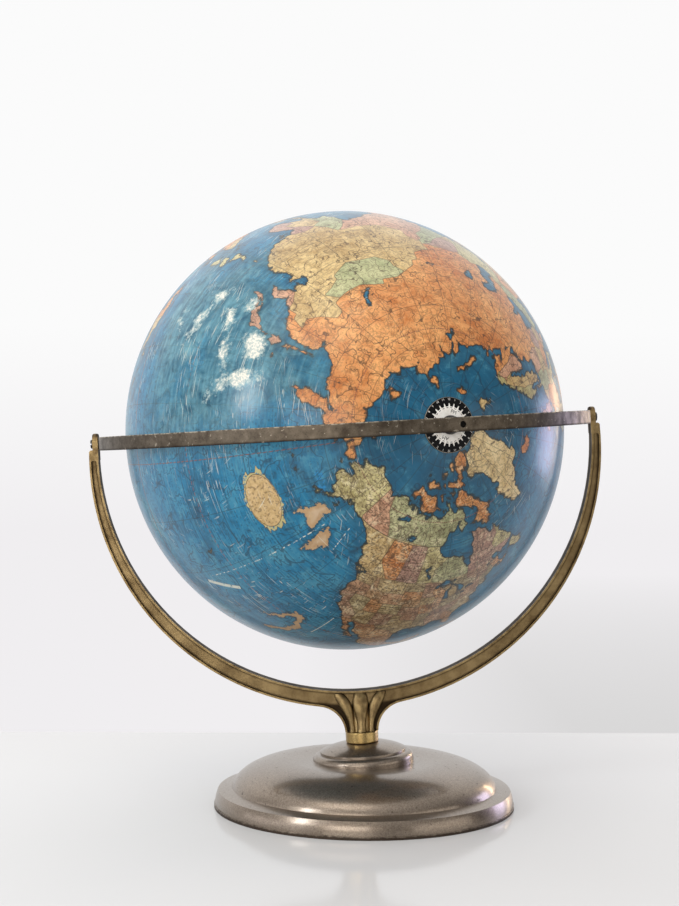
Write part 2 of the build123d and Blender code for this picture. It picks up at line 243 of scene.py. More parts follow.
# Coasts, lakes and borders, drawn from general knowledge, as longitude and latitude in degrees.
# A lake is cut out of the land, and a later tint covers an earlier one.
LAND = (
    # Europe and Asia
    "190.3 66.1,187 67,184.5 66.9,181 68.7,178 69.3,175 69.8,171 70,170.6 69,168.5 69.5,164 69.7,161 69.3,"
    "158 70.9,153 71,150 71.6,147 72.4,141 72.6,139.5 71.7,137 71.4,133 71.6,130 71,129 72,127 73.4,"
    "123.5 73,119 73,115 73.6,113.5 73.5,110 74,106.5 73.2,109 74.2,113 75.6,112 76.5,107 77,104.3 77.7,"
    "100 76.4,95 76.1,90 75.6,86.5 74.8,86 73.9,80.5 73.6,80.5 72.4,83 70.5,81.5 71.6,78 72.3,75 72.8,"
    "73.7 71.2,74.3 69.2,77.5 67.8,73.8 67.9,72 66.3,71.8 68,72.6 70,72.3 71.5,70 73.3,67 71.5,66.8 69.7,"
    "68.8 68.5,65 69,60.5 69.8,58 68.8,54 68.5,53.5 67.2,48.5 67.5,47.8 67,45.5 67.2,46 68.2,43.4 68.6,"
    "44 66.3,42 66.4,40.5 64.6,37.5 63.9,34.8 64.5,32.6 66.9,36 66.2,41 66.5,40.5 67.7,36 69.2,33 69.4,"
    "31 70.3,28 71,25.8 71.1,21 70.1,18 69.5,14.5 68.2,12.5 65.8,10.5 64.2,5.3 62,5 59.5,7 58,8.5 58.2,"
    "10.5 59.3,11.3 59,12.8 56,12.9 55.4,14.3 55.5,16.3 56.5,16.7 58,18.8 59.8,17.2 61.5,18 62.7,21 64.5,"
    "22.2 65.8,25 65.4,25 64.8,21.5 63.2,21.3 61,22.5 60,25 60.1,29.5 60.1,28 59.5,24 59.3,23.5 58.5,"
    "24.4 57.3,22.5 57.6,21 56.8,21 55.2,19.7 54.4,18.5 54.8,14.2 54,12 54.2,10.9 54,9.9 55,10.6 57.6,"
    "8.2 57,8.2 55.5,8.9 54,7 53.4,4.8 53,3.6 51.5,1.6 50.9,0.2 49.6,-1.7 49.6,-1.6 48.7,-4.7 48.4,"
    "-2.5 47.3,-1.2 46,-1.4 43.5,-4 43.4,-8 43.7,-9.2 43,-8.8 41,-9.5 38.7,-8.9 37,-6.4 36.8,-5.6 36,"
    "-2.1 36.7,-0.3 38.5,0 39.7,3.2 42,3 43.2,6 43.1,8.8 44.4,10.3 43.6,12.3 41.7,15.6 40,16 38,17.1 39,"
    "16.8 40.4,18.4 39.9,18 40.7,15.9 41.9,13.6 43.5,12.4 45,13.7 45.6,13.6 44.9,15 44.6,17 43.2,19.4 41.9,"
    "19.4 40.4,21 38.9,21.3 37.3,23 36.5,24 37.7,23 39.2,22.8 40.4,24 40.3,26 40.8,28.9 41,28 42,28.6 43.8,"
    "30.7 46.4,33 46,33 45,34 44.4,36.4 45.2,35 46.2,38 47,39.3 47.2,38 46,37.5 45,39 44,41.5 42,41 41,"
    "38 41,35 42,31.5 41.2,29.2 41.1,27 40.3,26.2 39.3,27 37.5,28.5 36.7,30.6 36.8,32.5 36,34.5 36.8,"
    "36 36.5,35.8 34.8,35 32.5,34.2 31.3,32.5 31.1,32.5 30,34.2 27.9,35 29.5,35.2 28,37.2 25,39 22,41 19,"
    "42.7 16.5,43.3 12.7,45 12.8,49 14.3,52.2 15.8,55 17.2,57.8 19.2,59.8 22.5,58.5 23.8,56.4 26.3,"
    "54.5 24.3,51.6 24.5,51.3 26,50.2 26.6,48.5 29,48.5 30,50.3 30,51.5 27.9,54.5 26.6,57 27,57.5 25.6,"
    "61.6 25.2,66.5 25,67.5 23.8,70 22.7,69 22.2,70.5 20.8,72.6 21.5,72.8 19,74 15,75 12,76.5 9,77.6 8.1,"
    "79 9.3,80 11,80.2 13.5,80.2 15.7,82.3 16.7,85 19.5,87 21.3,89 21.8,91.8 22.5,92.3 20.7,94.3 18,94.3 16,"
    "96 16.3,97.6 16.5,98.7 12,98.3 8.2,100.4 5.8,101.3 3,103.5 1.3,104.2 1.4,103.4 4,102.2 6.2,100.5 7.5,"
    "99.3 9.5,99.9 12,100.1 13.4,101 13.3,102.7 11.8,105 8.7,106.8 10.4,109.2 11.6,109.2 13.5,107.5 16.5,"
    "105.7 18.8,106.7 20.8,108.3 21.6,110 20.4,110.5 21.3,113.5 22.2,116.5 23,118.5 24.6,120 27,121.8 29.5,"
    "121.8 31,120.5 33.5,119.3 35,122.5 37,120.8 37.8,118.8 37.8,117.8 39,119.5 39.8,121.3 40.8,121.3 39,"
    "124.3 40,125.3 38,126.5 37,126.3 34.5,129 35.2,129.5 37,127.5 39.5,129.7 41,130.7 42.3,132 43.2,"
    "135 43.5,138.5 46.8,140.4 50,141 52.5,139 54.2,137.5 54,135.3 54.8,138 56.5,142.5 59.2,145.5 59.4,"
    "149 59.6,152 59,155 59.3,154.5 60,160.3 61.8,164 62.5,163.3 61.5,160 60.5,157 57.8,155.6 55,155.7 52,"
    "156.7 51,158.3 52.8,160 53.3,160 54.8,162 55,163 56.1,162.5 57.8,163.3 58.5,165 60,170.3 60,172.5 61,"
    "177 62.5,179.3 62.4,178 64.5,181 65,181.2 66.2,184 65,187 64.3,189.2 65.5",
    # Africa
    "32.4 30,32.3 31.2,29 30.9,25 31.7,23 32.7,20.2 32.2,20 31,19 30.3,15.5 32.2,11 33.5,10 34.2,11 36.9,"
    "10 37.3,3 36.9,-2 35.2,-5.5 35.9,-6.8 34,-9.7 31.5,-9.8 29.5,-13 27.7,-16 24,-17 21,-16.3 19,-16.5 16,"
    "-17.5 14.7,-16.7 12.4,-13.7 9.8,-11.5 6.9,-7.5 4.4,-3 5,1.2 6,4.5 6.3,6 4.3,8.5 4.6,9.5 3.8,9.5 1,"
    "8.8 -0.7,11.8 -4.7,13 -9,13.7 -11,12.5 -14,11.8 -17.5,14.5 -22.5,15 -27,18.2 -32,18.4 -34.2,20 -34.8,"
    "25.7 -34,28.5 -32.6,31 -29.8,32.8 -28,32.6 -26,35.5 -24,35 -20,37 -17.7,40.7 -15,40.5 -10.5,39.3 -7,"
    "39.2 -4.7,41.5 -1.8,45 2,48 4.5,51 10.5,51 12,47 11.2,43.3 11.6,43 12.7,39.7 15.3,37.3 18.8,37 21,"
    "35.6 24,34 26.6,32.6 29.7",
    # North America
    "-168 65.6,-164 66.4,-161.8 66.4,-163.8 67.2,-166.8 68.3,-163 69.2,-160 70.6,-156.6 71.3,-152 70.9,"
    "-145 70.1,-141 69.6,-137 69,-134 69.6,-129 70,-127.5 70.4,-124.5 69.4,-120 69.4,-115 68.7,-115 67.9,"
    "-109 67.7,-108 66.8,-106 68.5,-101 67.7,-98 67.8,-96 68.3,-94.5 69.5,-95.8 71.2,-94.5 72,-92.5 71,"
    "-91.5 69.6,-90 68.7,-88 68.7,-85.6 69.7,-82 69.8,-81.3 68,-83 66.3,-86 66.3,-87 65,-88.5 64,-91 63.6,"
    "-94 61,-94.8 59,-92.6 57,-88 56.5,-82.3 55.1,-82.2 53,-80 51.3,-78.8 52,-79 54.5,-77 56,-76.6 57.5,"
    "-78.3 58.8,-77.5 60,-78 62.4,-74 62.3,-71.5 61.2,-69.6 61,-69.5 59,-68 58.5,-66 58.8,-64.6 60.3,"
    "-62 57.5,-60 55,-57.2 53.5,-56 52,-58.5 51.3,-60 50.2,-66.5 50.2,-70 47.5,-64.3 48.9,-65 47.5,"
    "-64.5 46.2,-61.5 45.8,-60.5 46.9,-61 45.3,-63.5 44.5,-66 43.5,-66 44.8,-64.8 45.5,-67 44.7,-70 43.7,"
    "-70.7 42.6,-70 41.7,-72.5 41,-74 40.6,-74.2 39.5,-75.5 38,-76 36.8,-75.6 35.2,-77.5 34.3,-79.2 33.2,"
    "-81.3 31.3,-81.2 29.3,-80.1 26.8,-80.4 25.2,-81.7 26,-82.8 28,-83.8 29.8,-85.3 29.7,-88 30.3,"
    "-89.2 29.2,-91.5 29.5,-94.8 29.3,-97.2 27.7,-97.7 24.5,-97.3 20.8,-96 19.1,-94.6 18.2,-92 18.6,"
    "-90.6 19.6,-90.3 21,-87.2 21.5,-87.8 18.3,-88.5 15.9,-85 15.9,-83.3 15,-83.7 11.3,-82.2 9.1,-79.7 9.5,"
    "-77.3 8.5,-77.8 7.2,-79.5 8.9,-80.3 7.4,-82.9 8.2,-85.7 10,-87.6 12.9,-91.5 14,-94.5 16.2,-96.5 15.7,"
    "-100 17,-104.5 19.2,-105.5 20.5,-106.3 23.2,-109.4 26,-112.2 29,-113 31,-114.7 31.7,-114.4 30,"
    "-112.7 28,-111 25.5,-109.5 23,-110 22.9,-112.2 25.5,-114.2 27.2,-115.8 30.3,-117.2 32.6,-118.5 34,"
    "-120.6 34.5,-122 36.9,-122.6 38,-123.8 39.5,-124.4 40.4,-124.2 43,-124 46.3,-124.7 48.4,-122.6 48.2,"
    "-123.2 49.2,-127 51,-128.5 53,-130.3 54.8,-132 57,-134 58.5,-137 58.5,-139.7 59.6,-144 60,-148 60.8,"
    "-151.8 59.3,-150.5 61.2,-153.5 59.5,-156 57.8,-160 55.7,-164.5 54.6,-160.5 56.1,-157.8 57.8,"
    "-157.2 58.8,-162 58.7,-162 60,-165.2 60.6,-166 62,-164 63.2,-161 64.5,-164.5 64.5",
    # South America
    "-77.5 8.6,-75.5 10.8,-72 12.3,-71.3 11,-68 11.2,-64 10.4,-61.9 10.7,-60 8.5,-57 6,-52 5,-50 1.5,"
    "-48.5 -0.8,-44.3 -2.6,-40 -2.9,-37 -4.9,-35 -7,-35.2 -9.5,-37.2 -11.5,-39 -13.5,-39.2 -17.8,-41 -22,"
    "-44.5 -23.2,-48.5 -25.7,-48.8 -28.6,-52 -33,-55 -34.9,-58.3 -34,-57 -36.5,-58 -38.3,-62 -39,-65 -41,"
    "-63.6 -42.5,-65.3 -45,-67.5 -46.2,-65.9 -47.5,-69 -51,-68.5 -52.5,-65.2 -54.8,-69 -55.6,-72.5 -53.8,"
    "-75.5 -50,-74 -47,-75.5 -46.5,-72.8 -42.3,-73.7 -38,-71.6 -33,-71.4 -29,-70.2 -22,-70.4 -18.4,-76 -14,"
    "-79 -8,-81.3 -5,-80 -3,-80.8 -1.5,-80 0.8,-78.7 1.8,-77.2 4,-77.8 7",
    # Australia, New Guinea, Tasmania and New Zealand
    "113.5 -22.5,114 -26,115 -30,115.7 -33,115 -34.3,118 -35,123.5 -33.9,126 -32.3,131 -31.5,134 -32.8,"
    "135.6 -34.8,137.7 -32.8,138.2 -35,140 -37.5,143.5 -38.8,146.3 -39,150 -37.3,151.3 -33.5,153.5 -28.8,"
    "153 -25,150.8 -23,149 -20.5,146.2 -18.8,145.3 -15,143.8 -14.2,142.6 -10.8,141.6 -12.8,141 -16.7,"
    "139.5 -17.5,136 -15.5,136.8 -12.3,133 -11.5,131 -12.2,129.5 -14.9,127.5 -14.2,124.5 -16,122.2 -18,"
    "119 -20,116.5 -20.8",
    "131 -0.8,134 -0.8,135 -3,138 -1.7,144 -3.9,147.8 -6,150.8 -10.5,146 -8.5,143.2 -9,138.5 -8.3,138 -5.8,"
    "133 -4,132.8 -2.7",
    "144.7 -40.8,148.3 -40.9,147.5 -43.4,146 -43.3",
    "172.7 -34.5,175.5 -36.8,178.4 -37.8,176.8 -40,175 -41.5,174 -39.3,174.7 -38",
    "172.7 -40.6,174.2 -41.7,171.2 -44.2,170.6 -46,168.4 -46.6,166.6 -45.8,170 -43",
    # Antarctica
    "-58 -63.3,-62 -66,-62 -71,-60 -74.5,-75 -76,-78 -78,-50 -78,-35 -78,-25 -75,-10 -71,10 -70,30 -69.5,"
    "45 -67.5,55 -66,70 -69,80 -67.5,95 -66.3,110 -66,130 -66,145 -67.3,160 -70,168 -72,165 -77.5,"
    "-175 -78.5,-157 -77.5,-140 -75.3,-120 -74,-100 -72.5,-80 -73,-68 -69,-65 -65.5",
    # Greenland, Iceland, Britain and Ireland
    "-73 78,-67 80.3,-60 82,-45 82.5,-32 83.5,-22 82.3,-12 81.5,-18 80,-20 76.5,-20 74,-22 72.5,-26 71,"
    "-22 70.2,-27 68.5,-33 67.5,-40 65,-42 61.5,-44 60,-48 61,-51.5 64,-53.7 67,-51 69.3,-54.5 70.5,-55 72,"
    "-58 75,-64 76.2,-70 76.3",
    "-24 65.5,-22.5 66.4,-20 66,-16 66.5,-13.7 65,-18.5 63.4,-22.5 63.9",
    "-5.6 50.1,-3 50.7,1.3 51.2,0.6 51.9,1.7 52.7,0 53.6,-1.6 55.6,-2 57.6,-4 57.7,-3 58.6,-5 58.5,"
    "-5.7 56.5,-4.8 54.7,-3 54,-4.5 53.2,-4.8 52,-3 51.4",
    "-10 52,-6.2 52.2,-5.6 54.6,-8 55.2,-10 54",
    # Islands of the Eurasian side of the Arctic
    "11 79.5,16 80,27 80,22 78.2,17 76.6",
    "52 71.2,51.5 72,55 73.5,57 75.5,62 76.3,68.5 76.8,66 75.8,60 74.5,57 73.2,55.5 71,57.5 70.6",
    "95 79,93 80,97 81,100 79.8,105 78.8,103 78,99.5 78",
    "138 74.5,138 76,145 75.6,150.5 75.2,147 74.8,140 73.4",
    "47 80.5,50 81,60 81.6,64 80.9,57 80",
    "178.7 71,179 71.5,182.5 71.4,181.5 70.9",
    # Islands of the north-west Pacific
    "142 46,142 49,141.7 51.5,142.5 54.3,143.3 52.5,143.3 49.3,144.7 48.8,143 46.8,143.5 46.2",
    "140 41.5,140.5 43.3,141.7 45.4,143.5 44.2,145.4 43.4,143.3 42,141.5 42.4",
    "141.4 41.4,142 39.5,140.9 38,140.8 35.8,139 34.8,137 34.6,135.8 33.5,135 34.6,131 33.9,131 34.5,"
    "133 35.5,136 35.8,137 37.4,138.5 37.2,140 39.5,140.2 41",
    "130 33.5,131.8 33.3,134.5 34.2,134.2 33.3,132.8 32.8,131.8 32.5,131 31.2,130.2 31.3",
    "146 43.9,148.6 45.5,147.6 44.8",
    "120.2 23,121.5 25.2,121 22",
    "108.7 19.3,110.8 20,110 18.3",
    # Philippines, Indonesia, Ceylon and Melanesia
    "120.4 16,120.7 18.5,122.2 18.4,121.6 16,124 13,123 13,120.7 14",
    "122 7,123.5 8.6,126.3 8.5,125.5 6",
    "122 11.8,125 12.5,125.3 10.3,122.5 9.5",
    "117.3 8.4,119.5 11.3,118 9",
    "109 1.5,111.5 2.5,115 5,117 7,119 5.2,117.8 2,119 1,116.5 -2,116 -4,114.5 -4,110.2 -2.8",
    "95.3 5.6,98 4,103.5 0,106 -3,105.8 -5.8,102.3 -4,98.7 1.7",
    "105.2 -6.7,108.5 -6.5,112.5 -6.8,114.4 -7.8,114.3 -8.6,108.5 -7.8",
    "119.5 -5.4,119 -2.8,120 0.7,124.8 1.6,124.5 0.4,120.8 0.4,121.5 -1,123.3 -1,121.8 -2,122.6 -4.5,"
    "120.9 -3",
    "116 -8.4,123 -8.3,127 -8.5,123.8 -10.2,119 -9",
    "148.5 -5.7,152 -4.5,152 -5.5,149 -6.3",
    "155 -6,161.5 -10,160 -9.8",
    "164 -20.2,167 -22.3,165.5 -21.6",
    "80 9.6,81.8 7.5,80.5 6,79.8 7.5",
    "49.3 -12,50.5 -15.5,49.5 -18,47 -25,45 -25.5,43.7 -23.3,44.5 -20,44.2 -16.5,46.5 -15.8,48 -13.6",
    # Mediterranean and Baltic islands
    "12.5 38,15.5 38.2,15 36.8",
    "8.3 39,8.3 41,9.6 41,9.5 39.2",
    "8.7 42.4,9.4 42.9,9.3 41.5",
    "23.5 35.5,26.2 35.3,24.8 35",
    "32.4 34.9,34.3 35.5,33.5 34.7",
    "11 55.6,12.6 56,12 54.8",
    # Caribbean
    "-84.8 21.9,-82 23.1,-77 21.8,-74.3 20.2,-77.5 19.9,-78 20.8,-82 22.4",
    "-74.4 18.5,-72.8 19.9,-68.5 18.6,-71.5 17.8",
    "-78.2 18.4,-76.4 18.1,-77 17.9",
    "-67.2 18.4,-65.7 18.3,-66.5 17.9",
    # North American islands
    "-59.3 47.8,-56.5 51.4,-55.5 50,-53 48.5,-53.3 46.7,-56 47",
    "-128.3 50.7,-125.5 50.2,-123.4 48.5,-125.5 48.8",
    "-133 54,-131.7 53.6,-131.2 52.2",
    "-154.5 57.2,-152.3 58.2,-152.3 57.4",
    "-168.8 53.2,-166.4 54,-166.6 53.5",
    "-175 52,-172.5 52.5,-174 52.4",
    "-178.5 51.6,-176.5 51.9,-177.5 52",
    "-171.7 63.5,-169 63.4,-170.2 63.1",
    "-167.3 60.2,-165.6 60.2,-166 59.8",
    "-125 72,-123.5 73.8,-121 74.5,-117.5 73.2,-119.5 71.7,-123 71.2",
    "-119 71.6,-117.5 73,-110 73,-106 73.6,-105 71,-101.5 69.9,-105.5 69,-113 68.6,-117 69.9,-113 70.2,"
    "-118 70.9",
    "-117.5 75.5,-114 76.5,-108.5 76.6,-106 75,-112 74.6",
    "-104 75.5,-98 76.5,-98 75",
    "-96.5 75.5,-92 76.7,-80 75.8,-80 74.7,-92 74.7",
    "-95 80.5,-91 81.3,-87.5 80,-88 78.5,-94 79",
    "-91 81.7,-85 82.4,-70 83.1,-61 82.3,-66 80.6,-76 79,-78 77,-89 76.4,-85 78,-86 79.7,-86 80.7",
    "-105 78.5,-98 78.8,-98 77.8,-102 77.9",
    "-121.5 76.4,-116.5 77.2,-118 76.2",
    "-102 73,-98 73.8,-97 71.7,-100 71.5",
    "-95.5 74,-90.2 73.8,-92 72.6,-95 72.4",
    "-99 69.5,-96 69.7,-97 68.6",
    "-87 63.7,-85 66,-81 64.3,-84 63",
    "-89.5 72,-86 73.7,-81 73.7,-77 72.7,-71 71,-67.5 69.3,-67 68,-62 67,-64.5 65.3,-68 66.3,-66 64.6,"
    "-65 63,-66 62,-70 62.8,-68.5 63.7,-72 64,-78 64.5,-74 65.5,-73 67.8,-76 69.3,-80 69.8,-85 70,-89 71",
    "-64.5 49.9,-61.8 49.2,-63.5 49.3",
    "-155.9 20.2,-154.8 19.5,-155.8 19",
    "-158.2 21.6,-157.7 21.3,-158 21.2",
    "-61 -51.5,-58 -51.6,-60 -52.2",
)
WATER = (
    # Caspian, Aral, Balkhash, Baikal, Ladoga and Onega
    "47 45,49 46.6,53 46.9,53.2 45.2,51 44.5,50.3 43,53 42,53.8 39,53.8 37,50 37.4,48.9 38.5,49.5 40.4,"
    "47.5 42.8",
    "58.3 44.5,59 46.3,61.7 46.5,61 44.3,59.5 43.6",
    "73.8 45.3,74.5 46.5,79 46.6,76 46.1",
    "103.6 51.5,107 53.3,109.5 55.8,110.2 55,108.8 53,105.8 51.5",
    "30 60.5,31 61.5,33 61,32 60.2",
    "34.8 61,35 62.6,36.3 61.5",
    # Great Lakes and the northern lakes of America
    "-92 46.7,-88.5 48.8,-84.7 47.8,-85 46.7,-88 46.9",
    "-87.8 41.8,-87.8 44.5,-86 46,-86 42",
    "-84.3 46,-81.3 46.1,-80 44.7,-82 43.2,-83.5 45",
    "-83.2 41.8,-79 42.9,-81.5 41.5",
    "-79.6 43.3,-76.3 44.2,-76.5 43.4",
    "-99 53.5,-97.5 53.9,-96.3 51,-97.2 50.5",
    "-117 61.1,-112 62.7,-109.6 62.9,-113 61",
    "-124 65.1,-121 66.8,-118.3 67.1,-119 65.6,-121.5 64.9",
    "-111.2 59,-106.3 59.6,-109.5 58.9",
    # African lakes
    "31.7 -1,34 -0.3,33.5 -2.6",
    "29.2 -3.6,30.7 -8.5,30 -6",
    "34 -9.6,35 -13.9,34.9 -12",
    "13.4 13.4,14.8 13.3,14 12.8",
)
TINTS = (
    (Ink.CREAM, "-73.5 77.5,-68 80,-60 82.2,-50 83.5,-30 84.5,-8 82,-15 72,-28 66.5,-43 58.5,-56 65,-60 74,"
     "-70 75.5"),
    (Ink.ORANGE, "28 71.5,31 69.5,29 68,30 66,29.5 64.5,31 62.7,28 60.4,27 59.7,23 59.8,20 57.5,20.5 55.5,"
     "19.5 54.4,23.5 54,23.8 51.5,24 50.5,22.5 48.6,26.5 48.2,28.2 45.4,30 45,33 43.5,40 43,41.5 41.5,"
     "43.5 41.1,44.8 39.5,48 39,49 38.4,53.8 37,57 38.2,61.2 36.6,61.5 35.3,64.5 37,68 37,71 38,71.5 36.8,"
     "75 37.4,73.7 39.8,76 40.5,80 42,80.3 45,82.6 45.3,83 47.2,85.7 48.4,87.3 49.2,92 50.8,98 50.5,98.5 52,"
     "102.2 51.3,107 49.7,113 49.6,116.8 49.8,119.5 50.3,120.5 53.2,124 53.4,127.5 50,131 47.7,135 48.4,"
     "133 45,131 44.8,131 43,130.6 42.4,133 41.5,139 45.5,142.5 45.7,146 43.7,150 44.5,158 50,168 54.5,"
     "175 58,187 63.5,191.2 65.8,188 70,180 73,160 78,120 82,60 83,40 79,34 72"),
    (Ink.SAGE, "87.8 49.2,92 50.8,98 50.5,98.5 52,102.2 51.3,107 49.7,113 49.6,116.7 49.8,119.8 46.7,"
     "116 46.3,112 45,111.8 43.7,105 41.6,100 42.6,95 42.8,91 45.2,90.8 47"),
    (Ink.ROSE, "124.2 40,128 42,130.5 42.3,132 37,128 33,124.5 34,124 38"),
    (Ink.ROSE, "128 30,136 32.5,142 34,146 42.5,145.5 44.2,141 45.7,138.5 41,134 37,129 34.3"),
    # South Asia and the East Indies
    (Ink.SAGE, "61.6 25,66 29.8,69.5 34,71.5 36.5,74.5 37,76 34.5,74.5 31.5,71 27.8,70 24.5,67 22"),
    (Ink.ROSE, "70 24.5,71 27.8,74.5 31.5,74 34.5,76 36,78.7 34,79 31,81 30.2,85 28,88 27.9,92 27.8,97 28.3,"
     "95 26,93.5 23.5,92.5 21.5,90 20,82 14,79.6 9.8,78 5,76 7,70 18,67 22"),
    (Ink.SAGE, "92.3 21,93.5 24,95.2 26.5,97.4 28.2,98.7 25,101 21.5,98 19.5,98.6 15,99 10.5,97 10,92 15"),
    (Ink.MAUVE, "101 21.5,102 22.5,105 23,108 21.5,110.5 18,110.5 10,105 7.5,102.8 11.5,103 14.3,105.5 14.5,"
     "104.5 17.5"),
    (Ink.ORANGE, "94.8 6,98 4.5,104 1.2,109.5 2.3,114.5 1.3,117.8 4.2,125 5,128 3,135 1,141 -1,141 -9.5,"
     "125 -11.5,105 -9.5,94 2"),
    (Ink.STRAW, "116.5 7,119 5,127 5,127 13,122.5 19.5,119.5 18.5"),
    (Ink.ROSE, "112 -13,127 -12.8,135 -10,142.5 -10,155 -13,180 -33,180 -48,145 -45,112 -37"),
    # The Near East
    (Ink.SAGE, "26 40.7,28 42,33 42.6,41.5 41.5,44.5 40,44.5 37.3,40 37,36.5 36,32 35.5,27 36.3,25.8 39"),
    (Ink.STRAW, "44.5 39.7,48 39,49 38.3,54 37,57 38.2,61.2 36.6,61 31.5,61.6 25,57 25,52 26.8,48.3 30,"
     "46 33,45 36,44.3 38"),
    (Ink.MAUVE, "61.2 35.5,64.5 37,71.5 37,75 37.2,71.5 36,69.3 33,66.3 29.8,61 30"),
    (Ink.ORANGE, "36 36.5,42 37.2,45 36,46 33,48.2 30,44.5 29.2,40 32,36 29.5,34.8 32.5"),
    (Ink.ROSE, "43 17.5,52 19,55 20,56.5 24.5,60.5 22.5,53 15,43 12"),
    # Europe
    (Ink.ROSE, "20.5 69,24 68.7,28 70,30 69,30 66,29.5 64.5,31.5 62.8,28 60.4,22 59.5,20.5 61,21 63.5,"
     "24.2 65.8,23.6 67.9"),
    (Ink.STRAW, "31 70.5,28 69.8,24 68.7,20.5 69,16 67,14 64.5,12 63,12.3 61,11.5 59,7.5 57.2,3.5 59,4 63,"
     "12 69,25 72"),
    (Ink.ROSE, "-11 51,-6 49.5,2 50.7,2.5 53,-1 59.5,-0.5 61,-9 58.5"),
    (Ink.ORANGE, "-5.5 48.5,2.5 51.2,8.2 49,7 46,7.6 43.7,3.2 42.4,-1.8 43.3,-2 46"),
    (Ink.SAGE, "-9.8 42,-6.4 41.8,-7 37,-9.5 36.8"),
    (Ink.SAGE, "6 51,7 54,14.2 54.2,15 51,12.5 50.3,13.8 48.6,13 47.5,7.6 47.6,8 49"),
    (Ink.ROSE, "14.2 54.2,19.5 54.6,23.5 54,24 50.5,22.7 49.2,18.8 49.6,15 51"),
    (Ink.STRAW, "7 45.8,10.5 46.8,13.7 46.5,14.5 42.5,19 40.3,16 37,12 36.5,11.5 38,8 38.7,8 43.8"),
    (Ink.ORANGE, "13.7 46.4,16.5 46.5,19 46.1,22.5 44.5,23 42,20.5 41.5,19.5 41.8,14.5 44.3"),
    (Ink.MAUVE, "20.5 46.2,22.8 48,26.5 48.2,28.2 45.4,29.5 44.5,28.5 43.7,22.7 44"),
    (Ink.ROSE, "20 39.8,21 40.9,26.3 41.7,25.5 35,20 37"),
    (Ink.ORANGE, "-25 62.8,-12 62.8,-12 67,-25 67"),
    # Africa
    (Ink.ROSE, "-2 35.3,-1.5 32.5,-5.5 30,-8.7 27.7,-13.3 27.7,-10 31,-6 36.3"),
    (Ink.ORANGE, "-2 35.5,8.5 37.4,8.3 33,9.8 29,11.8 24,5 19.5,-4.5 25,-8.7 27.7,-5.5 30,-1.5 32.5"),
    (Ink.SAGE, "11.5 33.3,9.8 29,11.8 23.8,15 23,24 19.5,25 22,25 32.3,19 30,14 33"),
    (Ink.ROSE, "25 32.3,25 22,36.5 22,34.5 28,34.8 31.5"),
    (Ink.STRAW, "25 22,36.8 22,38.5 18,36.5 14,34 10,34 4,31 3.7,27 5,24 9,22 12.5,24 19.5"),
    (Ink.ORANGE, "36.5 14.5,39 16,43 12.5,42.5 11,48 8,45 5,39 3.7,34.5 5.5,34 9"),
    (Ink.ROSE, "43 11.7,51.5 12.3,49 4,42 -2,41 0,42 4.2,45 5,48 8"),
    (Ink.ROSE, "3 6,4 13,13.7 13.7,14 11.5,8.7 4.3"),
    (Ink.SAGE, "-3 4.6,-3 11,1 11,1.5 5.6"),
    (Ink.SAGE, "12.5 -5.5,16 -4,18 3.5,24 5,30.5 4,29.5 -3.5,29 -8.5,28.5 -12.5,24 -11,21.5 -7.5"),
    (Ink.MAUVE, "12 -5.5,16.7 -6,21.7 -7.5,24 -11,22 -13,21 -17.5,11.5 -17.3,12.5 -10"),
    (Ink.ORANGE, "34 4.5,41.8 4,41.5 -1.8,40.5 -10.5,34.6 -11.5,29.5 -8.5,30 -1.5,31 3.5"),
    (Ink.STRAW, "22 -13,24 -11,28.7 -12.7,33 -9.5,33 -14,32.8 -20,31.2 -22.3,27.5 -20,25.2 -17.8"),
    (Ink.SAGE, "34.6 -11.5,40.7 -10.5,41 -15,35.5 -25,32.2 -27,31.5 -22,33 -19.5,30.5 -15.5,34.5 -14"),
    (Ink.ROSE, "11.5 -17.3,25.2 -17.7,20.8 -19,20 -25,25.5 -25.5,29.5 -22.2,31.3 -22.3,32.5 -27,28 -34,"
     "18 -35.5,14 -27"),
    (Ink.ORANGE, "42 -11,51.5 -11,51.5 -26.5,42 -26.5"),
    # Alaska and Canada
    (Ink.STRAW, "-141 72,-141 60.4,-137.5 59,-130 56,-130.5 54.3,-134 54,-160 52,-182 50.5,-172 63,"
     "-169.5 66,-168 72.5"),
    (Ink.ROSE, "-141 70,-141 60.3,-136 59.8,-129.5 60,-124 60,-128 63.5,-132 65.5,-136.5 69.3"),
    (Ink.SAGE, "-136.5 70,-132 65.5,-128 63.5,-124 60,-102 60,-94 60,-80 62.8,-80 66,-81.5 70.3,-86 70,"
     "-90 70,-93 72.3,-96.5 72.2,-97 69.5,-106 68.9,-115 68.4,-118 69.6,-126 70.8"),
    (Ink.ORANGE, "-127 70.8,-118 69.6,-113 68.4,-106 68.8,-100 68.3,-96.5 69.9,-96.5 72.2,-91.3 72.5,"
     "-90 71.3,-85.5 70,-80 69.6,-79 66.5,-79.5 64,-66 61,-61 66,-68 72,-74.5 77.5,-60.5 82.3,-70 84,"
     "-100 81.5,-126 76"),
    (Ink.ORANGE, "-120 60,-110 60,-110 49,-114 49,-118.3 52.5,-120 54"),
    (Ink.MAUVE, "-110 60,-102 60,-101.4 49,-110 49"),
    (Ink.STRAW, "-102 60,-94 60,-88.9 57,-95.2 52.8,-95.2 49,-101.4 49"),
    (Ink.SAGE, "-95.2 49,-95.2 52.8,-88.9 57,-82 55.3,-79.5 51.5,-79.5 47,-74.5 45.2,-79 43,-83 42,"
     "-84.5 46.5,-89.5 48"),
    (Ink.MAUVE, "-79.5 51.5,-79 63,-70 62,-64.5 60.5,-64 57,-67.5 54.5,-66.5 52.5,-57 52,-57.5 50,-64 49,"
     "-65 48,-70.5 45.3,-74.5 45,-79.5 47"),
    (Ink.STRAW, "-64.5 60.5,-64 57,-67.5 54.5,-66.5 52.5,-57 51.5,-60 48,-52 46.3,-51.5 48.5,-55 53"),
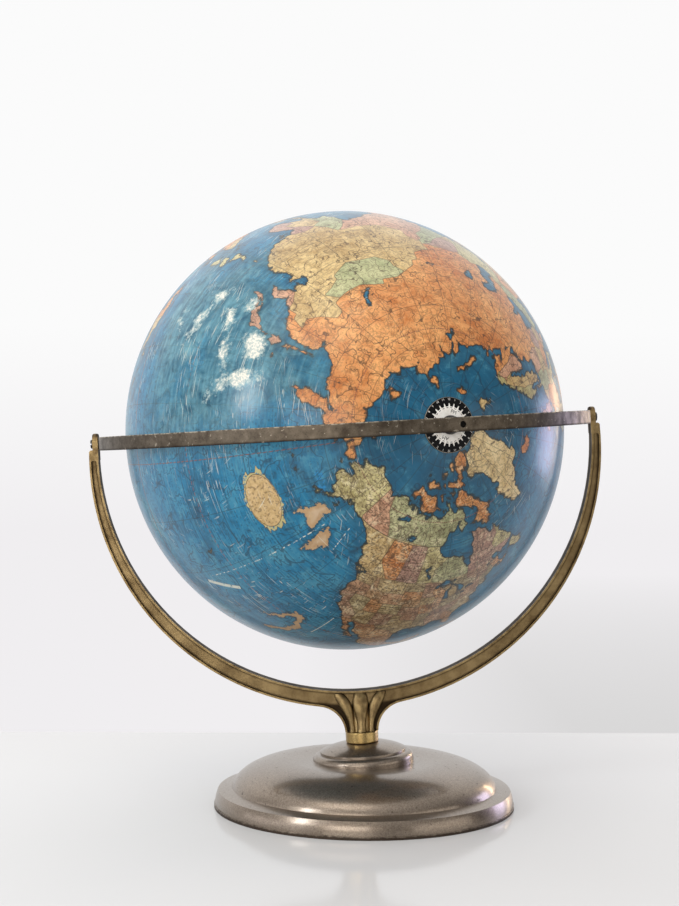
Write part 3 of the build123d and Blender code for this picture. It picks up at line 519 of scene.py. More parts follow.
    (Ink.ORANGE, "-69 47.4,-67 45,-66.5 42.8,-59.5 45.5,-60 48,-64 48.5"),
    # States of the Union
    (Ink.STRAW, "-125 48.6,-117 49,-117 46,-119 46,-124.5 46.2"),
    (Ink.ROSE, "-125 46.2,-119 46,-117 46,-117 42,-125 42"),
    (Ink.MAUVE, "-125 42,-120 42,-120 39,-114.6 35,-114.5 32.7,-118 32,-122 36"),
    (Ink.SAGE, "-120 42,-114 42,-114 36,-114.6 35,-120 39"),
    (Ink.STRAW, "-116 49,-104 49,-104 45,-111 44.5,-114.5 45.5"),
    (Ink.ROSE, "-111 45,-104 45,-104 41,-111 41"),
    (Ink.ORANGE, "-114 42,-111 42,-111 41,-109 41,-109 37,-114 37"),
    (Ink.SAGE, "-109 41,-102 41,-102 37,-109 37"),
    (Ink.STRAW, "-114.7 37,-109 37,-109 31.3,-114.8 32.5"),
    (Ink.MAUVE, "-109 37,-103 37,-103 32,-106.5 31.8,-109 31.3"),
    (Ink.SAGE, "-104 49,-97 49,-96.6 46,-104 46"),
    (Ink.ORANGE, "-104 46,-96.5 46,-96.5 42.8,-104 43"),
    (Ink.MAUVE, "-102 40,-94.7 40,-94.7 37,-102 37"),
    (Ink.ROSE, "-103 37,-94.5 37,-94.5 33.8,-100 34.5,-100 36.5,-103 36.5"),
    (Ink.STRAW, "-103 36.5,-100 36.5,-100 34.5,-94 33.5,-93.8 29,-97 25.8,-101 29.5,-104.5 29.5,-106.5 31.8,"
     "-103 32"),
    (Ink.MAUVE, "-97 49,-89.7 48,-92 46.7,-91.5 43.5,-96.5 43.5"),
    (Ink.STRAW, "-96.5 43.5,-91 43.5,-90.3 41.8,-91.5 40.5,-95.8 40.5"),
    (Ink.ORANGE, "-95.8 40.6,-91.5 40.5,-89.2 36.6,-94.6 36.5"),
    (Ink.SAGE, "-94.5 36.5,-89.8 36.2,-91 33,-89.2 29,-94 29.5"),
    (Ink.ORANGE, "-92.5 47,-87.5 45,-87.8 42.5,-90.6 42.5,-92.8 45"),
    (Ink.ROSE, "-90.6 42.5,-87.6 42.5,-88 37.5,-89.3 37,-91.3 40"),
    (Ink.STRAW, "-90 46.6,-84 46.5,-82.3 43,-83.3 41.7,-87 41.8,-87.5 45"),
    (Ink.SAGE, "-87.6 41.7,-80.5 42,-81 39.5,-84.5 38.5,-88 37.9"),
    (Ink.MAUVE, "-89.3 36.8,-82 38.5,-83 36.6,-81.7 36.5,-84 35,-90 35"),
    (Ink.ROSE, "-91 33,-90 35,-85.5 35,-85 30.5,-89.5 30"),
    (Ink.ORANGE, "-85.5 35,-83.3 35,-80.8 32,-79.7 27,-80.5 24.5,-85.5 29.5,-85 31"),
    (Ink.STRAW, "-84 35,-81.7 36.5,-80.5 38.5,-77.5 39.2,-74.8 37.5,-77 33.5,-80.8 32,-83.3 35"),
    (Ink.ROSE, "-80.5 42.2,-79 43.5,-74.7 45,-73.3 45,-73.5 41,-75 39.5,-80.5 39.7"),
    (Ink.SAGE, "-73.3 45,-70.8 45.3,-69 47.4,-66.8 44.8,-69.5 41,-73.5 41"),
    # Middle and South America
    (Ink.ORANGE, "-117.2 32.5,-114.8 32.5,-111 31.3,-106.5 31.8,-104.5 29.5,-101 29.5,-97 25.8,-94 20,"
     "-86 22,-88.5 17.8,-92 14.5,-106 18,-117 27"),
    (Ink.STRAW, "-92.3 14.4,-91 17.8,-88.5 17.8,-88 15.8,-89.5 13.5"),
    (Ink.ROSE, "-89.5 14.2,-88 16.3,-83 15.5,-83.5 10.8,-85.8 11,-88 13"),
    (Ink.SAGE, "-85.8 11,-83.5 11,-79 10,-77 8.6,-78 7,-84 8"),
    (Ink.ORANGE, "-86 23.5,-73.5 23.5,-73.5 19.5,-86 20.5"),
    (Ink.STRAW, "-79 1.5,-77.5 8.5,-72 12.8,-72.5 8,-67.5 6,-67 1.2,-70 -4.2,-75.5 -0.5"),
    (Ink.SAGE, "-72 12.8,-60 10.8,-60 5,-64 4,-67 1.2,-67.5 6,-72.5 8"),
    (Ink.ROSE, "-81.2 -3.5,-81 1.5,-79 1.7,-75.5 -0.3,-79 -5"),
    (Ink.ORANGE, "-60.5 8.7,-60 5,-57 2,-51.5 4.2,-53 6.8"),
    (Ink.ROSE, "-73.8 -7.3,-70 -4.2,-69.5 1.5,-64 4.2,-60.5 5,-57 2,-51.5 4.5,-47 0,-33.5 -5,-37 -14,"
     "-47 -26.5,-53.5 -34,-57.7 -30,-54 -26.5,-55 -24,-58 -20,-60.5 -14,-65.3 -10,-70.5 -10.8"),
    (Ink.ORANGE, "-81.8 -4.5,-75.5 -0.5,-70 -4.2,-73.8 -7.3,-70.5 -10.8,-69 -12.5,-69.5 -17.5,-70.5 -18.5,"
     "-77.5 -13.5"),
    (Ink.STRAW, "-69.5 -17.5,-69 -12.5,-65.3 -10,-60.5 -14,-58 -20,-62.5 -22.3,-67.5 -22.8"),
    (Ink.ORANGE, "-62.5 -22.2,-58 -20,-55 -24,-54.5 -27,-58.5 -27"),
    (Ink.SAGE, "-68 -22.5,-62.5 -22.2,-58 -27.2,-54 -26,-57.8 -30.5,-58.3 -34,-56 -37.5,-63 -43,-65 -46,"
     "-65 -55.3,-68.5 -52.3,-72 -50.5,-71 -38,-70 -33,-68.5 -27"),
    (Ink.MAUVE, "-70.4 -18.3,-68 -22.5,-68.5 -27,-70 -33,-71 -38,-72.2 -50.5,-68.3 -52.5,-66 -56.2,-77 -52,"
     "-74.5 -38,-72 -22"),
)
SCUFFS = (
    Mark(134.5, 21.8, 4.4, 2.6, -60),
    Mark(143.1, 19.2, 9.0, 2.6, -18),
    Mark(140.4, 28.9, 5.8, 3.2, 26),
    Mark(134.1, 32.6, 3.6, 3.6),
    Mark(145.9, 39.2, 8.6, 6.8, 23),
    Mark(150.6, 31.8, 7.6, 2.8, 18),
    Mark(156.7, 38.2, 11.5, 4.6, -77),
    Mark(160.5, 33.0, 6.0, 1.6, -60),
    Mark(143, 12, 4.0, 1.4, 10),
)
BARE_BOARD = (
    "202.3 48.2,202 49.6,203.3 52.4,204.6 55.4,208.2 55.5,209.3 52.8,210.5 49.7,208.6 49.1,205.2 49.8",
    "214.9 44,214.1 48.5,213.4 52.8,219.7 49.7,218.1 47.1,216.4 45",
    "226.7 17.2,229.8 21.8,231.8 26.3,235.1 25.8,237.4 20,236.1 15.1,232.3 11,231.4 12,234.6 16,235.5 20.4,"
    "234 23.8,232.6 24.2,230.6 20.8",
)
TOUCHED_UP = Scrape("189.8 57.2,200 56.2", 3.4, True)
SCRAPES = (
    Scrape("212.8 10.4,217.2 20.1", 1.7),
    Scrape("211.5 14,212 52.5", 0.45, True),
    Scrape("240.7 20.2,241.1 30.8", 0.4),
    Scrape("222 49.5,219.5 56.5", 0.35, True),
)
# Turn about the oval, reach in millimetres and half width of each curl of the legend's frame
CURLS = (
    (2.75, 7.0, 0.24), (-2.6, 6.0, 0.3), (0.5, 6.4, 0.26),
    (-0.25, 5.4, 0.3), (-1.75, 3.6, 0.3), (1.3, 3.0, 0.3),
)


class Atlas:
    """The printed geography: coasts, inland waters, tinted lands and the marks of use."""

    def __init__(self, spots: np.ndarray, radius_mm: float) -> None:
        """Hold the points of the ball that the map is read at.

        Args:
            spots: Unit vectors in the ball's own frame.
            radius_mm: Radius of the ball.
        """
        self.spots = spots
        self.radius = radius_mm
        self.wobbled = self.wobble(spots)

    @staticmethod
    def wobble(spots: np.ndarray) -> np.ndarray:
        """Shake the points a little, which breaks straight runs of coast into coves and capes.

        Args:
            spots: Unit vectors.

        Returns:
            Unit vectors moved by up to about a millimetre on the ball.
        """
        dice = np.random.default_rng(12)
        shake = np.zeros_like(spots)
        waves_per_size = 5
        for wave_mm, reach_mm in ((16.0, 0.35), (9.0, 0.3), (5.5, 0.22), (3.6, 0.15)):
            for _ in range(waves_per_size):
                heading = dice.normal(size=3)
                heading *= 2 * math.pi * BALL_MM / wave_mm / np.linalg.norm(heading)
                push = dice.normal(size=3) * reach_mm / BALL_MM
                shake += np.sin(spots @ heading + dice.uniform(0, 6.28))[:, None] * push
        moved = spots + shake
        return moved / np.linalg.norm(moved, axis=1, keepdims=True)

    def depth_inside(self, path: str, spots: np.ndarray) -> np.ndarray:
        """How far each point lies inside an outline, on a stereographic plane about its middle.

        Args:
            path: Corners of the outline.
            spots: Unit vectors.

        Returns:
            Millimetres on the ball, negative outside and cut off at the margin there.
        """
        corners = directions(path)
        middle = unit(corners.mean(axis=0))
        widest = 3.0
        reach = math.acos(float(np.clip((corners @ middle).min(), -1, 1))) + MARGIN_MM / self.radius
        depth = np.full(len(spots), -MARGIN_MM)
        near = np.flatnonzero(spots @ middle > math.cos(min(reach, widest)))
        side = unit(np.cross(middle, ASKEW))
        basis = np.stack([side, np.cross(middle, side)], axis=1)
        stretch = 2 / (1 + spots[near] @ middle)
        x, y = (spots[near] @ basis * stretch[:, None]).T
        ring = corners @ basis * (2 / (1 + corners @ middle))[:, None]
        nearest = np.full(len(near), np.inf)
        inside = np.zeros(len(near), bool)
        for (ax, ay), (bx, by) in zip(ring, np.roll(ring, -1, axis=0)):
            run, rise = bx - ax, by - ay
            along = np.clip(((x - ax) * run + (y - ay) * rise) / (run * run + rise * rise), 0, 1)
            nearest = np.minimum(nearest, (x - ax - along * run) ** 2 + (y - ay - along * rise) ** 2)
            if rise:
                inside ^= ((ay > y) != (by > y)) & (x < ax + (y - ay) * run / rise)
        away = np.sqrt(nearest) / stretch * self.radius
        depth[near] = np.maximum(np.where(inside, away, -away), -MARGIN_MM)
        return depth

    def coast(self) -> np.ndarray:
        """Put the lands together and cut the inland waters out of them.

        Returns:
            Depth inland from the coast, negative at sea.
        """
        land = np.full(len(self.spots), -MARGIN_MM)
        for path in LAND:
            land = np.maximum(land, self.depth_inside(path, self.wobbled))
        for path in WATER:
            land = np.minimum(land, -self.depth_inside(path, self.wobbled))
        return land

    def tints(self) -> dict[Ink, np.ndarray]:
        """Print one land after another, where a later one covers an earlier one.

        Returns:
            Depth inside each ink's lands.
        """
        depths = {ink: np.full(len(self.spots), -MARGIN_MM) for ink in OVERPRINTS}
        for printed, path in TINTS:
            inside = self.depth_inside(path, self.spots)
            for ink, depth in depths.items():
                own = ink is printed
                depths[ink] = np.maximum(depth, inside) if own else np.minimum(depth, -inside)
        return depths

    def oval(self, mark: Mark) -> tuple[np.ndarray, np.ndarray]:
        """Coordinates of every point about a mark.

        Args:
            mark: The oval spot.

        Returns:
            Share of the oval's half width and of its half height; far points get a large value.
        """
        far_mm, near_side = 500.0, 0.5
        middle = directions(f"{mark.lon} {mark.lat}")[0]
        east = unit(np.cross((0.0, 0.0, 1.0), middle))
        up = np.cross(middle, east)
        turn = math.radians(mark.turn)
        across = (self.spots @ (east * math.cos(turn) + up * math.sin(turn))) * self.radius
        along = (self.spots @ (up * math.cos(turn) - east * math.sin(turn))) * self.radius
        far = self.spots @ middle < near_side
        across, along = np.where(far, far_mm, across), np.where(far, far_mm, along)
        return across / mark.half_width, along / mark.half_height

    def scuffs(self) -> np.ndarray:
        """Put the rubbed spots together, where the print is gone.

        Returns:
            Depth inside them.
        """
        nowhere_mm = -40.0
        depth = np.full(len(self.spots), nowhere_mm)
        for mark in SCUFFS:
            share = np.hypot(*self.oval(mark))
            depth = np.maximum(depth, (1 - share) * min(mark.half_width, mark.half_height))
        return depth

    def bare_board(self) -> np.ndarray:
        """Depth inside the spots where the paper has come off."""
        return np.max([self.depth_inside(path, self.wobbled) for path in BARE_BOARD], axis=0)

    def legend(self, mark: Mark) -> tuple[np.ndarray, np.ndarray]:
        """Depth inside the legend oval and inside its scrolled frame.

        Args:
            mark: The oval plate.

        Returns:
            Millimetres inside the plate, and inside the frame around it.
        """
        frame_width, fingers, cut = 0.8, 31, 0.45
        across, along = self.oval(mark)
        plate = np.maximum((1 - np.hypot(across, along)) * mark.half_width, -MARGIN_MM)
        around = np.arctan2(along, across)
        curls = np.zeros(len(around))
        for turn, reach, width in CURLS:
            off = np.angle(np.exp(1j * (around - turn)))
            curls += reach * np.exp(-((off / width) ** 2)) * (1 - cut + cut * np.sin(fingers * around))
        return plate, np.maximum(plate + frame_width + curls, -MARGIN_MM)


@dataclass(frozen=True)
class MapSheet:
    """What every layer of the map reads: places on the ball, fine and coarse mottle, depths in outlines."""

    tree: NodeTree
    place: NodeSocket
    polar: NodeSocket
    spun: Node
    lat: Node
    lon: Node
    shrink: Node
    grain: Node
    cloud: Node
    depth: dict[str, NodeSocket]

    def line(self, value: Feed, inner: float, outer: float, gain: float) -> Node:
        """A line where a value crosses nought.

        Args:
            value: The value, in any measure.
            inner: Half width of the full line in that measure.
            outer: Half width at which it ends.
            gain: Strength of the full line.

        Returns:
            The share of line.
        """
        gap = add(self.tree, "ABSOLUTE", (value,))
        return add(self.tree, RANGE, (gap, inner, outer, gain, 0.0))

    def streaks(self, width: float, length: float, low: float, high: float, gain: float = 1.0) -> Node:
        """Short strokes that lie along the parallels, the way the ball turns.

        Args:
            width: Width of a stroke in millimetres.
            length: Length of a stroke in millimetres.
            low: Noise level where a stroke begins.
            high: Noise level where it is full.
            gain: Strength of a full stroke.

        Returns:
            The share of stroke.
        """
        scale = (DEGREE_MM / width, BALL_MM / length, BALL_MM / length)
        lined = add(self.tree, VECTOR, (self.spun, scale), operation="MULTIPLY")
        noise = add(self.tree, NOISE, {"Vector": lined, "Scale": 0.6, "Detail": 0.0})
        share = add(self.tree, RANGE, (noise, low, high, 0.0, gain))
        calm = add(self.tree, RANGE, (self.shrink, 0.2, 0.6))
        return add(self.tree, "MULTIPLY", (share, calm))

    def contour(self, size: float, width: float, gain: float, wander: float = 0.0) -> Node:
        """Thin lines that wander over the sheet, as rivers and ranges do.

        Args:
            size: Distance between bends in millimetres.
            width: Half width of the line as a share of the noise.
            gain: Strength of the line.
            wander: How far the lines are stirred.

        Returns:
            The share of line.
        """
        feeds = {"Vector": self.place, "Scale": per_mm(size), "Detail": 2.0, "Roughness": 0.6}
        noise = add(self.tree, NOISE, {**feeds, "Distortion": wander})
        gap = add(self.tree, "SUBTRACT", (noise, 0.5))
        return self.line(gap, width * 0.3, width, gain)

    def scrape(self, scrape: Scrape) -> Node:
        """A straight line between two points of the ball.

        Args:
            scrape: The line.

        Returns:
            The share of line.
        """
        start, end = directions(scrape.ends)
        side, middle = unit(np.cross(start, end)), unit(start + end)
        off = add(self.tree, VECTOR, (self.polar, side), operation="DOT_PRODUCT")
        half = scrape.half_width / BALL_MM
        line = self.line(off, half * 0.6, half, 0.9)
        near = add(self.tree, VECTOR, (self.polar, middle), operation="DOT_PRODUCT")
        near = add(self.tree, "GREATER_THAN", (near, float(start @ middle)))
        low, high = (0.5, 0.56) if scrape.skips else (0.36, 0.44)
        gaps = add(self.tree, RANGE, (self.grain, low, high))
        near = add(self.tree, "MULTIPLY", (near, gaps))
        return add(self.tree, "MULTIPLY", (line, near))


@dataclass(frozen=True)
class PrintedMap:
    """Chromolithographed paper gores under aged gloss varnish: flat inks, fine print and long use."""

    name: str = "varnished_map_paper"
    sea: str = "#10739a"
    deep_sea: str = "#0c4662"
    faded_sea: str = "#5ba0b1"
    fresh_paint: str = "#2482bb"
    coast_line: str = "#1b2320"
    land_print: str = "#46301f"
    sea_print: str = "#123a50"
    plains: tuple[str, str] = ("#cfa778", "#8a6644")
    relief: tuple[str, str] = ("#f3e6bd", "#5d4228")
    scratch: str = "#dcdccb"
    date_line: str = "#7a4a3e"
    legend_paper: str = "#e2c594"
    bare_paper: str = "#ebe4d6"
    stained_paper: str = "#9db0ae"
    smears: tuple[str, str] = ("#164a5c", "#6b9ba4")
    rubbed_sea: str = "#a9bdb8"
    bare_board: str = "#94704a"
    torn_board: str = "#d3b48c"
    board_pith: str = "#ddcdb4"
    varnish_bloom: str = "#e8f2f8"
    roughness: float = 0.4
    varnish_roughness: float = 0.2

    def sheet(self, tree: NodeTree, place: NodeSocket) -> MapSheet:
        """Read the ball's attributes into sockets.

        Args:
            tree: Tree of the material.
            place: Object coordinates.

        Returns:
            The sheet that the layers share.
        """
        polar = add(tree, "ShaderNodeAttribute", attribute_name="polar").outputs["Vector"]
        names = ["coast", "scuff", "board", "legend", "scroll", *(ink.depth_name for ink in OVERPRINTS)]
        depth = {name: add(tree, "ShaderNodeAttribute", attribute_name=name).outputs["Fac"] for name in names}
        x, y, z = add(tree, SPLIT, (polar,)).outputs
        lat = add(tree, "ARCSINE", (z,))
        lat = add(tree, "DEGREES", (lat,))
        lon = add(tree, "ARCTAN2", (y, x))
        lon = add(tree, "DEGREES", (lon,))
        shrink = add(tree, "MULTIPLY", (z, z))
        shrink = add(tree, "SUBTRACT", (1.0, shrink))
        shrink = add(tree, "SQRT", (shrink,))
        spun = add(tree, JOIN, (lat, x, y))
        feeds = {"Vector": place, "Roughness": 0.65}
        grain = add(tree, NOISE, {**feeds, "Scale": per_mm(2.2), "Detail": 3.0})
        cloud = add(tree, NOISE, {**feeds, "Scale": per_mm(34), "Detail": 5.0})
        return MapSheet(tree, place, polar, spun, lat, lon, shrink, grain, cloud, depth)

    def small_print(self, sheet: MapSheet) -> Node:
        """Rows of fine strokes 2.1 mm apart that stand for names, coarser than type so that they show.

        Args:
            sheet: The shared sockets.

        Returns:
            The share of ink.
        """
        tree = sheet.tree
        row = add(tree, "PINGPONG", (sheet.lat, 0.4))
        row = add(tree, RANGE, (row, 0.15, 0.23, 1.0, 0.0))
        words = add(tree, NOISE, {"Vector": sheet.place, "Scale": per_mm(6.5), "Detail": 1.0})
        words = add(tree, RANGE, (words, 0.46, 0.5))
        rows = add(tree, "MULTIPLY", (row, sheet.streaks(1.6, 0.9, 0.5, 0.55)))
        return add(tree, "MULTIPLY", (rows, words))

    def land(self, sheet: MapSheet, letters: Node) -> Feed:
        """One ink after another over buff paper, mottled as a stone print is, with borders and fine lines.

        Args:
            sheet: The shared sockets.
            letters: Share of small print.

        Returns:
            The colour of the land.
        """
        tree = sheet.tree
        stain = add(tree, NOISE, {"Vector": sheet.place, "Scale": per_mm(8), "Detail": 4.0, "Roughness": 0.7})
        tone = add(tree, "MULTIPLY_ADD", (stain, 0.9, sheet.cloud))
        tone = add(tree, RANGE, (tone, 0.7, 1.16))
        # The plains south of the 49th parallel are printed brown, and their inks are thin
        thin = 1.0
        south, east, west = (sheet.lat, 49.0), (sheet.lon, -125.5), (sheet.lon, -66.5)
        for bound, side in ((south, "LESS_THAN"), (east, "GREATER_THAN"), (west, "LESS_THAN")):
            within = add(tree, side, bound)
            thin = add(tree, "MULTIPLY", (thin, within))
        light, dark = self.plains
        colour = lay(tree, Ink.BUFF.mottled(tree, tone), (thin, lay(tree, light, (tone, dark))))
        thin = add(tree, RANGE, (thin, 0.0, 1.0, 1.0, 0.45))
        border = 0.0
        for ink in OVERPRINTS:
            inside = sheet.depth[ink.depth_name]
            cover = add(tree, RANGE, (inside, -0.12, 0.12))
            cover = add(tree, "MULTIPLY", (cover, thin))
            colour = lay(tree, colour, (cover, ink.mottled(tree, tone)))
            border = most(tree, border, sheet.line(inside, 0.1, 0.38, 0.75))
        # The Americas, between Greenland and the strait, have stronger relief and denser print
        west = add(tree, RANGE, (sheet.lon, -52.0, -66.0))
        strait = add(tree, "GREATER_THAN", (sheet.lon, -169.0))
        west = add(tree, "MULTIPLY", (west, strait))
        feeds = {"Vector": sheet.place, "Scale": per_mm(7), "Detail": 5.0}
        relief = add(tree, NOISE, {**feeds, "Roughness": 0.74, "Distortion": 0.8})
        for end, tint in zip((0.72, 0.26), self.relief):
            share = add(tree, RANGE, (relief, 0.5, end, 0.0, 0.8))
            share = add(tree, "MULTIPLY", (share, west))
            colour = lay(tree, colour, (share, tint))
        rivers = sheet.contour(12, 0.016, 0.8)
        ranges = sheet.contour(8, 0.04, 0.42, 1.2)
        dense = add(tree, RANGE, (west, 0.0, 1.0, 0.3, 0.75))
        fleck = add(tree, NOISE, {"Vector": sheet.place, "Scale": per_mm(1.5), "Detail": 3.0})
        fleck = add(tree, RANGE, (fleck, 0.55, 0.64))
        fleck = add(tree, "MULTIPLY", (fleck, dense))
        town = add(tree, CELLS, {"Vector": sheet.place, "Scale": per_mm(6)})
        town = add(tree, RANGE, (town, 0.06, 0.1, 0.8, 0.0))
        strong = add(tree, "MULTIPLY", (letters, dense))
        print_share = most(tree, border, rivers, ranges, fleck, town, strong)
        return lay(tree, colour, (print_share, self.land_print))

    def ocean(self, sheet: MapSheet, letters: Node) -> Feed:
        """Flat blue that has faded and darkened in clouds, with thin print.

        Args:
            sheet: The shared sockets.
            letters: Share of small print.

        Returns:
            The colour of the sea.
        """
        tree = sheet.tree
        pale = add(tree, RANGE, (sheet.cloud, 0.5, 0.76, 0.0, 0.7))
        dark = add(tree, RANGE, (sheet.cloud, 0.26, 0.5, 0.85, 0.0))
        coast = sheet.depth["coast"]
        shelf = add(tree, RANGE, (coast, -9.0, 0.0, 0.0, 0.55), interpolation_type="SMOOTHSTEP")
        north = add(tree, RANGE, (sheet.lat, 50.0, 74.0, 0.0, 0.6))
        feeds = {"Vector": sheet.place, "Scale": per_mm(7), "Detail": 5.0}
        mottle = add(tree, NOISE, {**feeds, "Roughness": 0.68, "Distortion": 0.4})
        faint = add(tree, "MULTIPLY", (letters, 0.5))
        return lay(
            tree,
            self.sea,
            (pale, self.faded_sea),
            (dark, self.deep_sea),
            (shelf, self.deep_sea),
            (north, self.deep_sea),
            (sheet.streaks(1.0, 7.0, 0.52, 0.75, 0.22), self.faded_sea),
            (sheet.streaks(0.7, 12.0, 0.6, 0.68, 0.28), self.deep_sea),
            (add(tree, RANGE, (mottle, 0.54, 0.74, 0.0, 0.55)), self.faded_sea),
            (add(tree, RANGE, (mottle, 0.46, 0.28, 0.0, 0.75)), self.deep_sea),
            (sheet.scrape(TOUCHED_UP), self.fresh_paint),
            (most(tree, faint, sheet.contour(20, 0.016, 0.7, 0.6)), self.sea_print),
        )

    def net(self, sheet: MapSheet, colour: Feed) -> Feed:
        """Graticule of 10 by 15 degrees, dashed tropics and polar circles, red date line and equator.

        Args:
            sheet: The shared sockets.
            colour: The map below.

        Returns:
            The map with its net.
        """
        tree = sheet.tree
        lat_gap = add(tree, "PINGPONG", (sheet.lat, 5.0))
        lon_gap = add(tree, "PINGPONG", (sheet.lon, 7.5))
        lon_gap = add(tree, "MULTIPLY", (lon_gap, sheet.shrink))
        lines = add(tree, "MINIMUM", (lat_gap, lon_gap))
        lines = add(tree, RANGE, (lines, 0.05, 0.15, 0.45, 0.0))
        away = add(tree, "ABSOLUTE", (sheet.lat,))
        gaps = []
        for parallel in (23.45, 66.55):
            gap = add(tree, "SUBTRACT", (away, parallel))
            gaps.append(add(tree, "ABSOLUTE", (gap,)))
        rings = add(tree, "MINIMUM", gaps)
        # The date line stops short of the strait
        turn = add(tree, "ABSOLUTE", (sheet.lon,))
        turn = add(tree, "SUBTRACT", (180.0, turn))
        turn = add(tree, "MULTIPLY", (turn, sheet.shrink))
        arctic = add(tree, "GREATER_THAN", (sheet.lat, 62.5))
        turn = add(tree, "ADD", (turn, arctic))
        rings = add(tree, "MINIMUM", (rings, turn))
        dash = add(tree, "ADD", (sheet.lat, sheet.lon))
        dash = add(tree, "PINGPONG", (dash, 0.75))
        dash = add(tree, "GREATER_THAN", (dash, 0.26))
        rings = add(tree, RANGE, (rings, 0.07, 0.19, 0.75, 0.0))
        rings = add(tree, "MULTIPLY", (rings, dash))
        red = most(tree, rings, sheet.line(sheet.lat, 0.1, 0.24, 0.8))
        return lay(tree, colour, (lines, self.coast_line), (red, self.date_line))

    def legend(self, sheet: MapSheet, colour: Feed) -> Feed:
        """Legend oval in a scrolled frame, with plain strokes in place of words.

        Args:
            sheet: The shared sockets.
            colour: The map below.

        Returns:
            The map with the oval.
        """
        tree = sheet.tree
        scroll = add(tree, RANGE, (sheet.depth["scroll"], -0.1, 0.1))
        leaves = add(tree, RANGE, (sheet.grain, 0.38, 0.5))
        scroll = add(tree, "MULTIPLY", (scroll, leaves))
        plate = add(tree, RANGE, (sheet.depth["legend"], -0.1, 0.1))
        shade = Ink.BUFF.value[1]
        blots, strokes = sheet.streaks(2.4, 1.5, 0.45, 0.65, 0.5), sheet.streaks(1.3, 0.8, 0.55, 0.7, 0.5)
        paper = lay(tree, self.legend_paper, (sheet.grain, shade), (blots, shade), (strokes, self.land_print))
        edges = (sheet.depth["scroll"], sheet.depth["legend"])
        rims = [(sheet.line(edge, 0.12, 0.42, 0.8), self.land_print) for edge in edges]
        return lay(tree, colour, (scroll, Ink.STRAW.mottled(tree, sheet.grain)), (plate, paper), *rims)

    def wear(self, sheet: MapSheet, colour: Feed, ashore: Node) -> tuple[Feed, Feed]:
        """Rub the paper white, lay the board bare and scratch the varnish.

        Args:
            sheet: The shared sockets.
            colour: The map below.
            ashore: Share of land.

        Returns:
            The worn map, and the share that has lost its varnish.
        """
        tree = sheet.tree
        ragged = add(tree, "SUBTRACT", (sheet.grain, 0.5))
        feeds = {"Vector": sheet.place, "Scale": per_mm(6), "Detail": 5.0}
        brushed = add(tree, NOISE, {**feeds, "Roughness": 0.68})
        torn = add(tree, "MULTIPLY_ADD", (brushed, 19.0, sheet.depth["scuff"]))
        torn = add(tree, "MULTIPLY_ADD", (ragged, 8.0, torn))
        at_sea = add(tree, RANGE, (ashore, 0.0, 1.0, 1.0, 0.2))
        feeds = {"Vector": sheet.place, "Scale": per_mm(11), "Detail": 6.0}
        dabs = add(tree, NOISE, {**feeds, "Roughness": 0.66, "Distortion": 0.7})
        smear = add(tree, "ADD", (sheet.streaks(1.4, 9.0, 0.4, 0.75, 0.14), dabs))
        smear = add(tree, RANGE, (smear, 0.38, 0.78))
        dark, pale = self.smears
        smear = lay(tree, dark, (smear, pale))
        for start, end, gain, tint in ((-17.0, 3.0, 0.75, smear), (7.4, 10.0, 0.55, self.rubbed_sea)):
            share = add(tree, RANGE, (torn, start, end, 0.0, gain), interpolation_type="SMOOTHSTEP")
            share = add(tree, "MULTIPLY", (share, at_sea))
            colour = lay(tree, colour, (share, tint))
        rub = add(tree, RANGE, (torn, 9.7, 11.9, 0.0, 0.92))
        stain = add(tree, NOISE, {"Vector": sheet.place, "Scale": per_mm(1.3), "Detail": 3.0})
        stain = add(tree, RANGE, (stain, 0.43, 0.6, 0.0, 0.8))
        paper = lay(tree, self.bare_paper, (stain, self.stained_paper))
        smudge = add(tree, "MULTIPLY_ADD", (ragged, 6.0, sheet.depth["board"]))
        peeled = add(tree, RANGE, (smudge, -0.2, 0.3))
        smudge = add(tree, RANGE, (smudge, -2.4, 0.0, 0.0, 0.7))
        pith = add(tree, RANGE, (sheet.depth["board"], 1.6, 4.0, 0.0, 0.35))
        board = lay(tree, self.bare_board, (brushed, self.torn_board), (pith, self.board_pith))
        handled = add(tree, NOISE, {"Vector": sheet.place, "Scale": per_mm(30), "Detail": 2.0})
        handled = add(tree, RANGE, (handled, 0.46, 0.64, 0.0, 0.6))
        east = add(tree, "MULTIPLY", (sheet.lon, sheet.shrink))
        slant = {"Rotation": (0.0, 0.0, -0.7), "Scale": (0.17, 3.0, 1.0)}
        crossing = {"Vector": add(tree, JOIN, (sheet.lat, east)), **slant}
        crossing = add(tree, "ShaderNodeMapping", crossing, vector_type="TEXTURE")
        crossing = add(tree, NOISE, {"Vector": crossing, "Scale": 0.6, "Detail": 0.0})
        crossing = add(tree, RANGE, (crossing, 0.745, 0.775))
        turned = sheet.streaks(0.4, 14.0, 0.74, 0.77), sheet.streaks(0.5, 6.0, 0.75, 0.78)
        lines = add(tree, "MULTIPLY", (most(tree, *turned, crossing), handled))
        lines = add(tree, "MULTIPLY", (lines, at_sea))
        lines = most(tree, lines, *(sheet.scrape(scrape) for scrape in SCRAPES))
        wounds = (rub, paper), (smudge, self.coast_line), (peeled, board), (lines, self.scratch)
        return lay(tree, colour, *wounds), most(tree, rub, peeled)

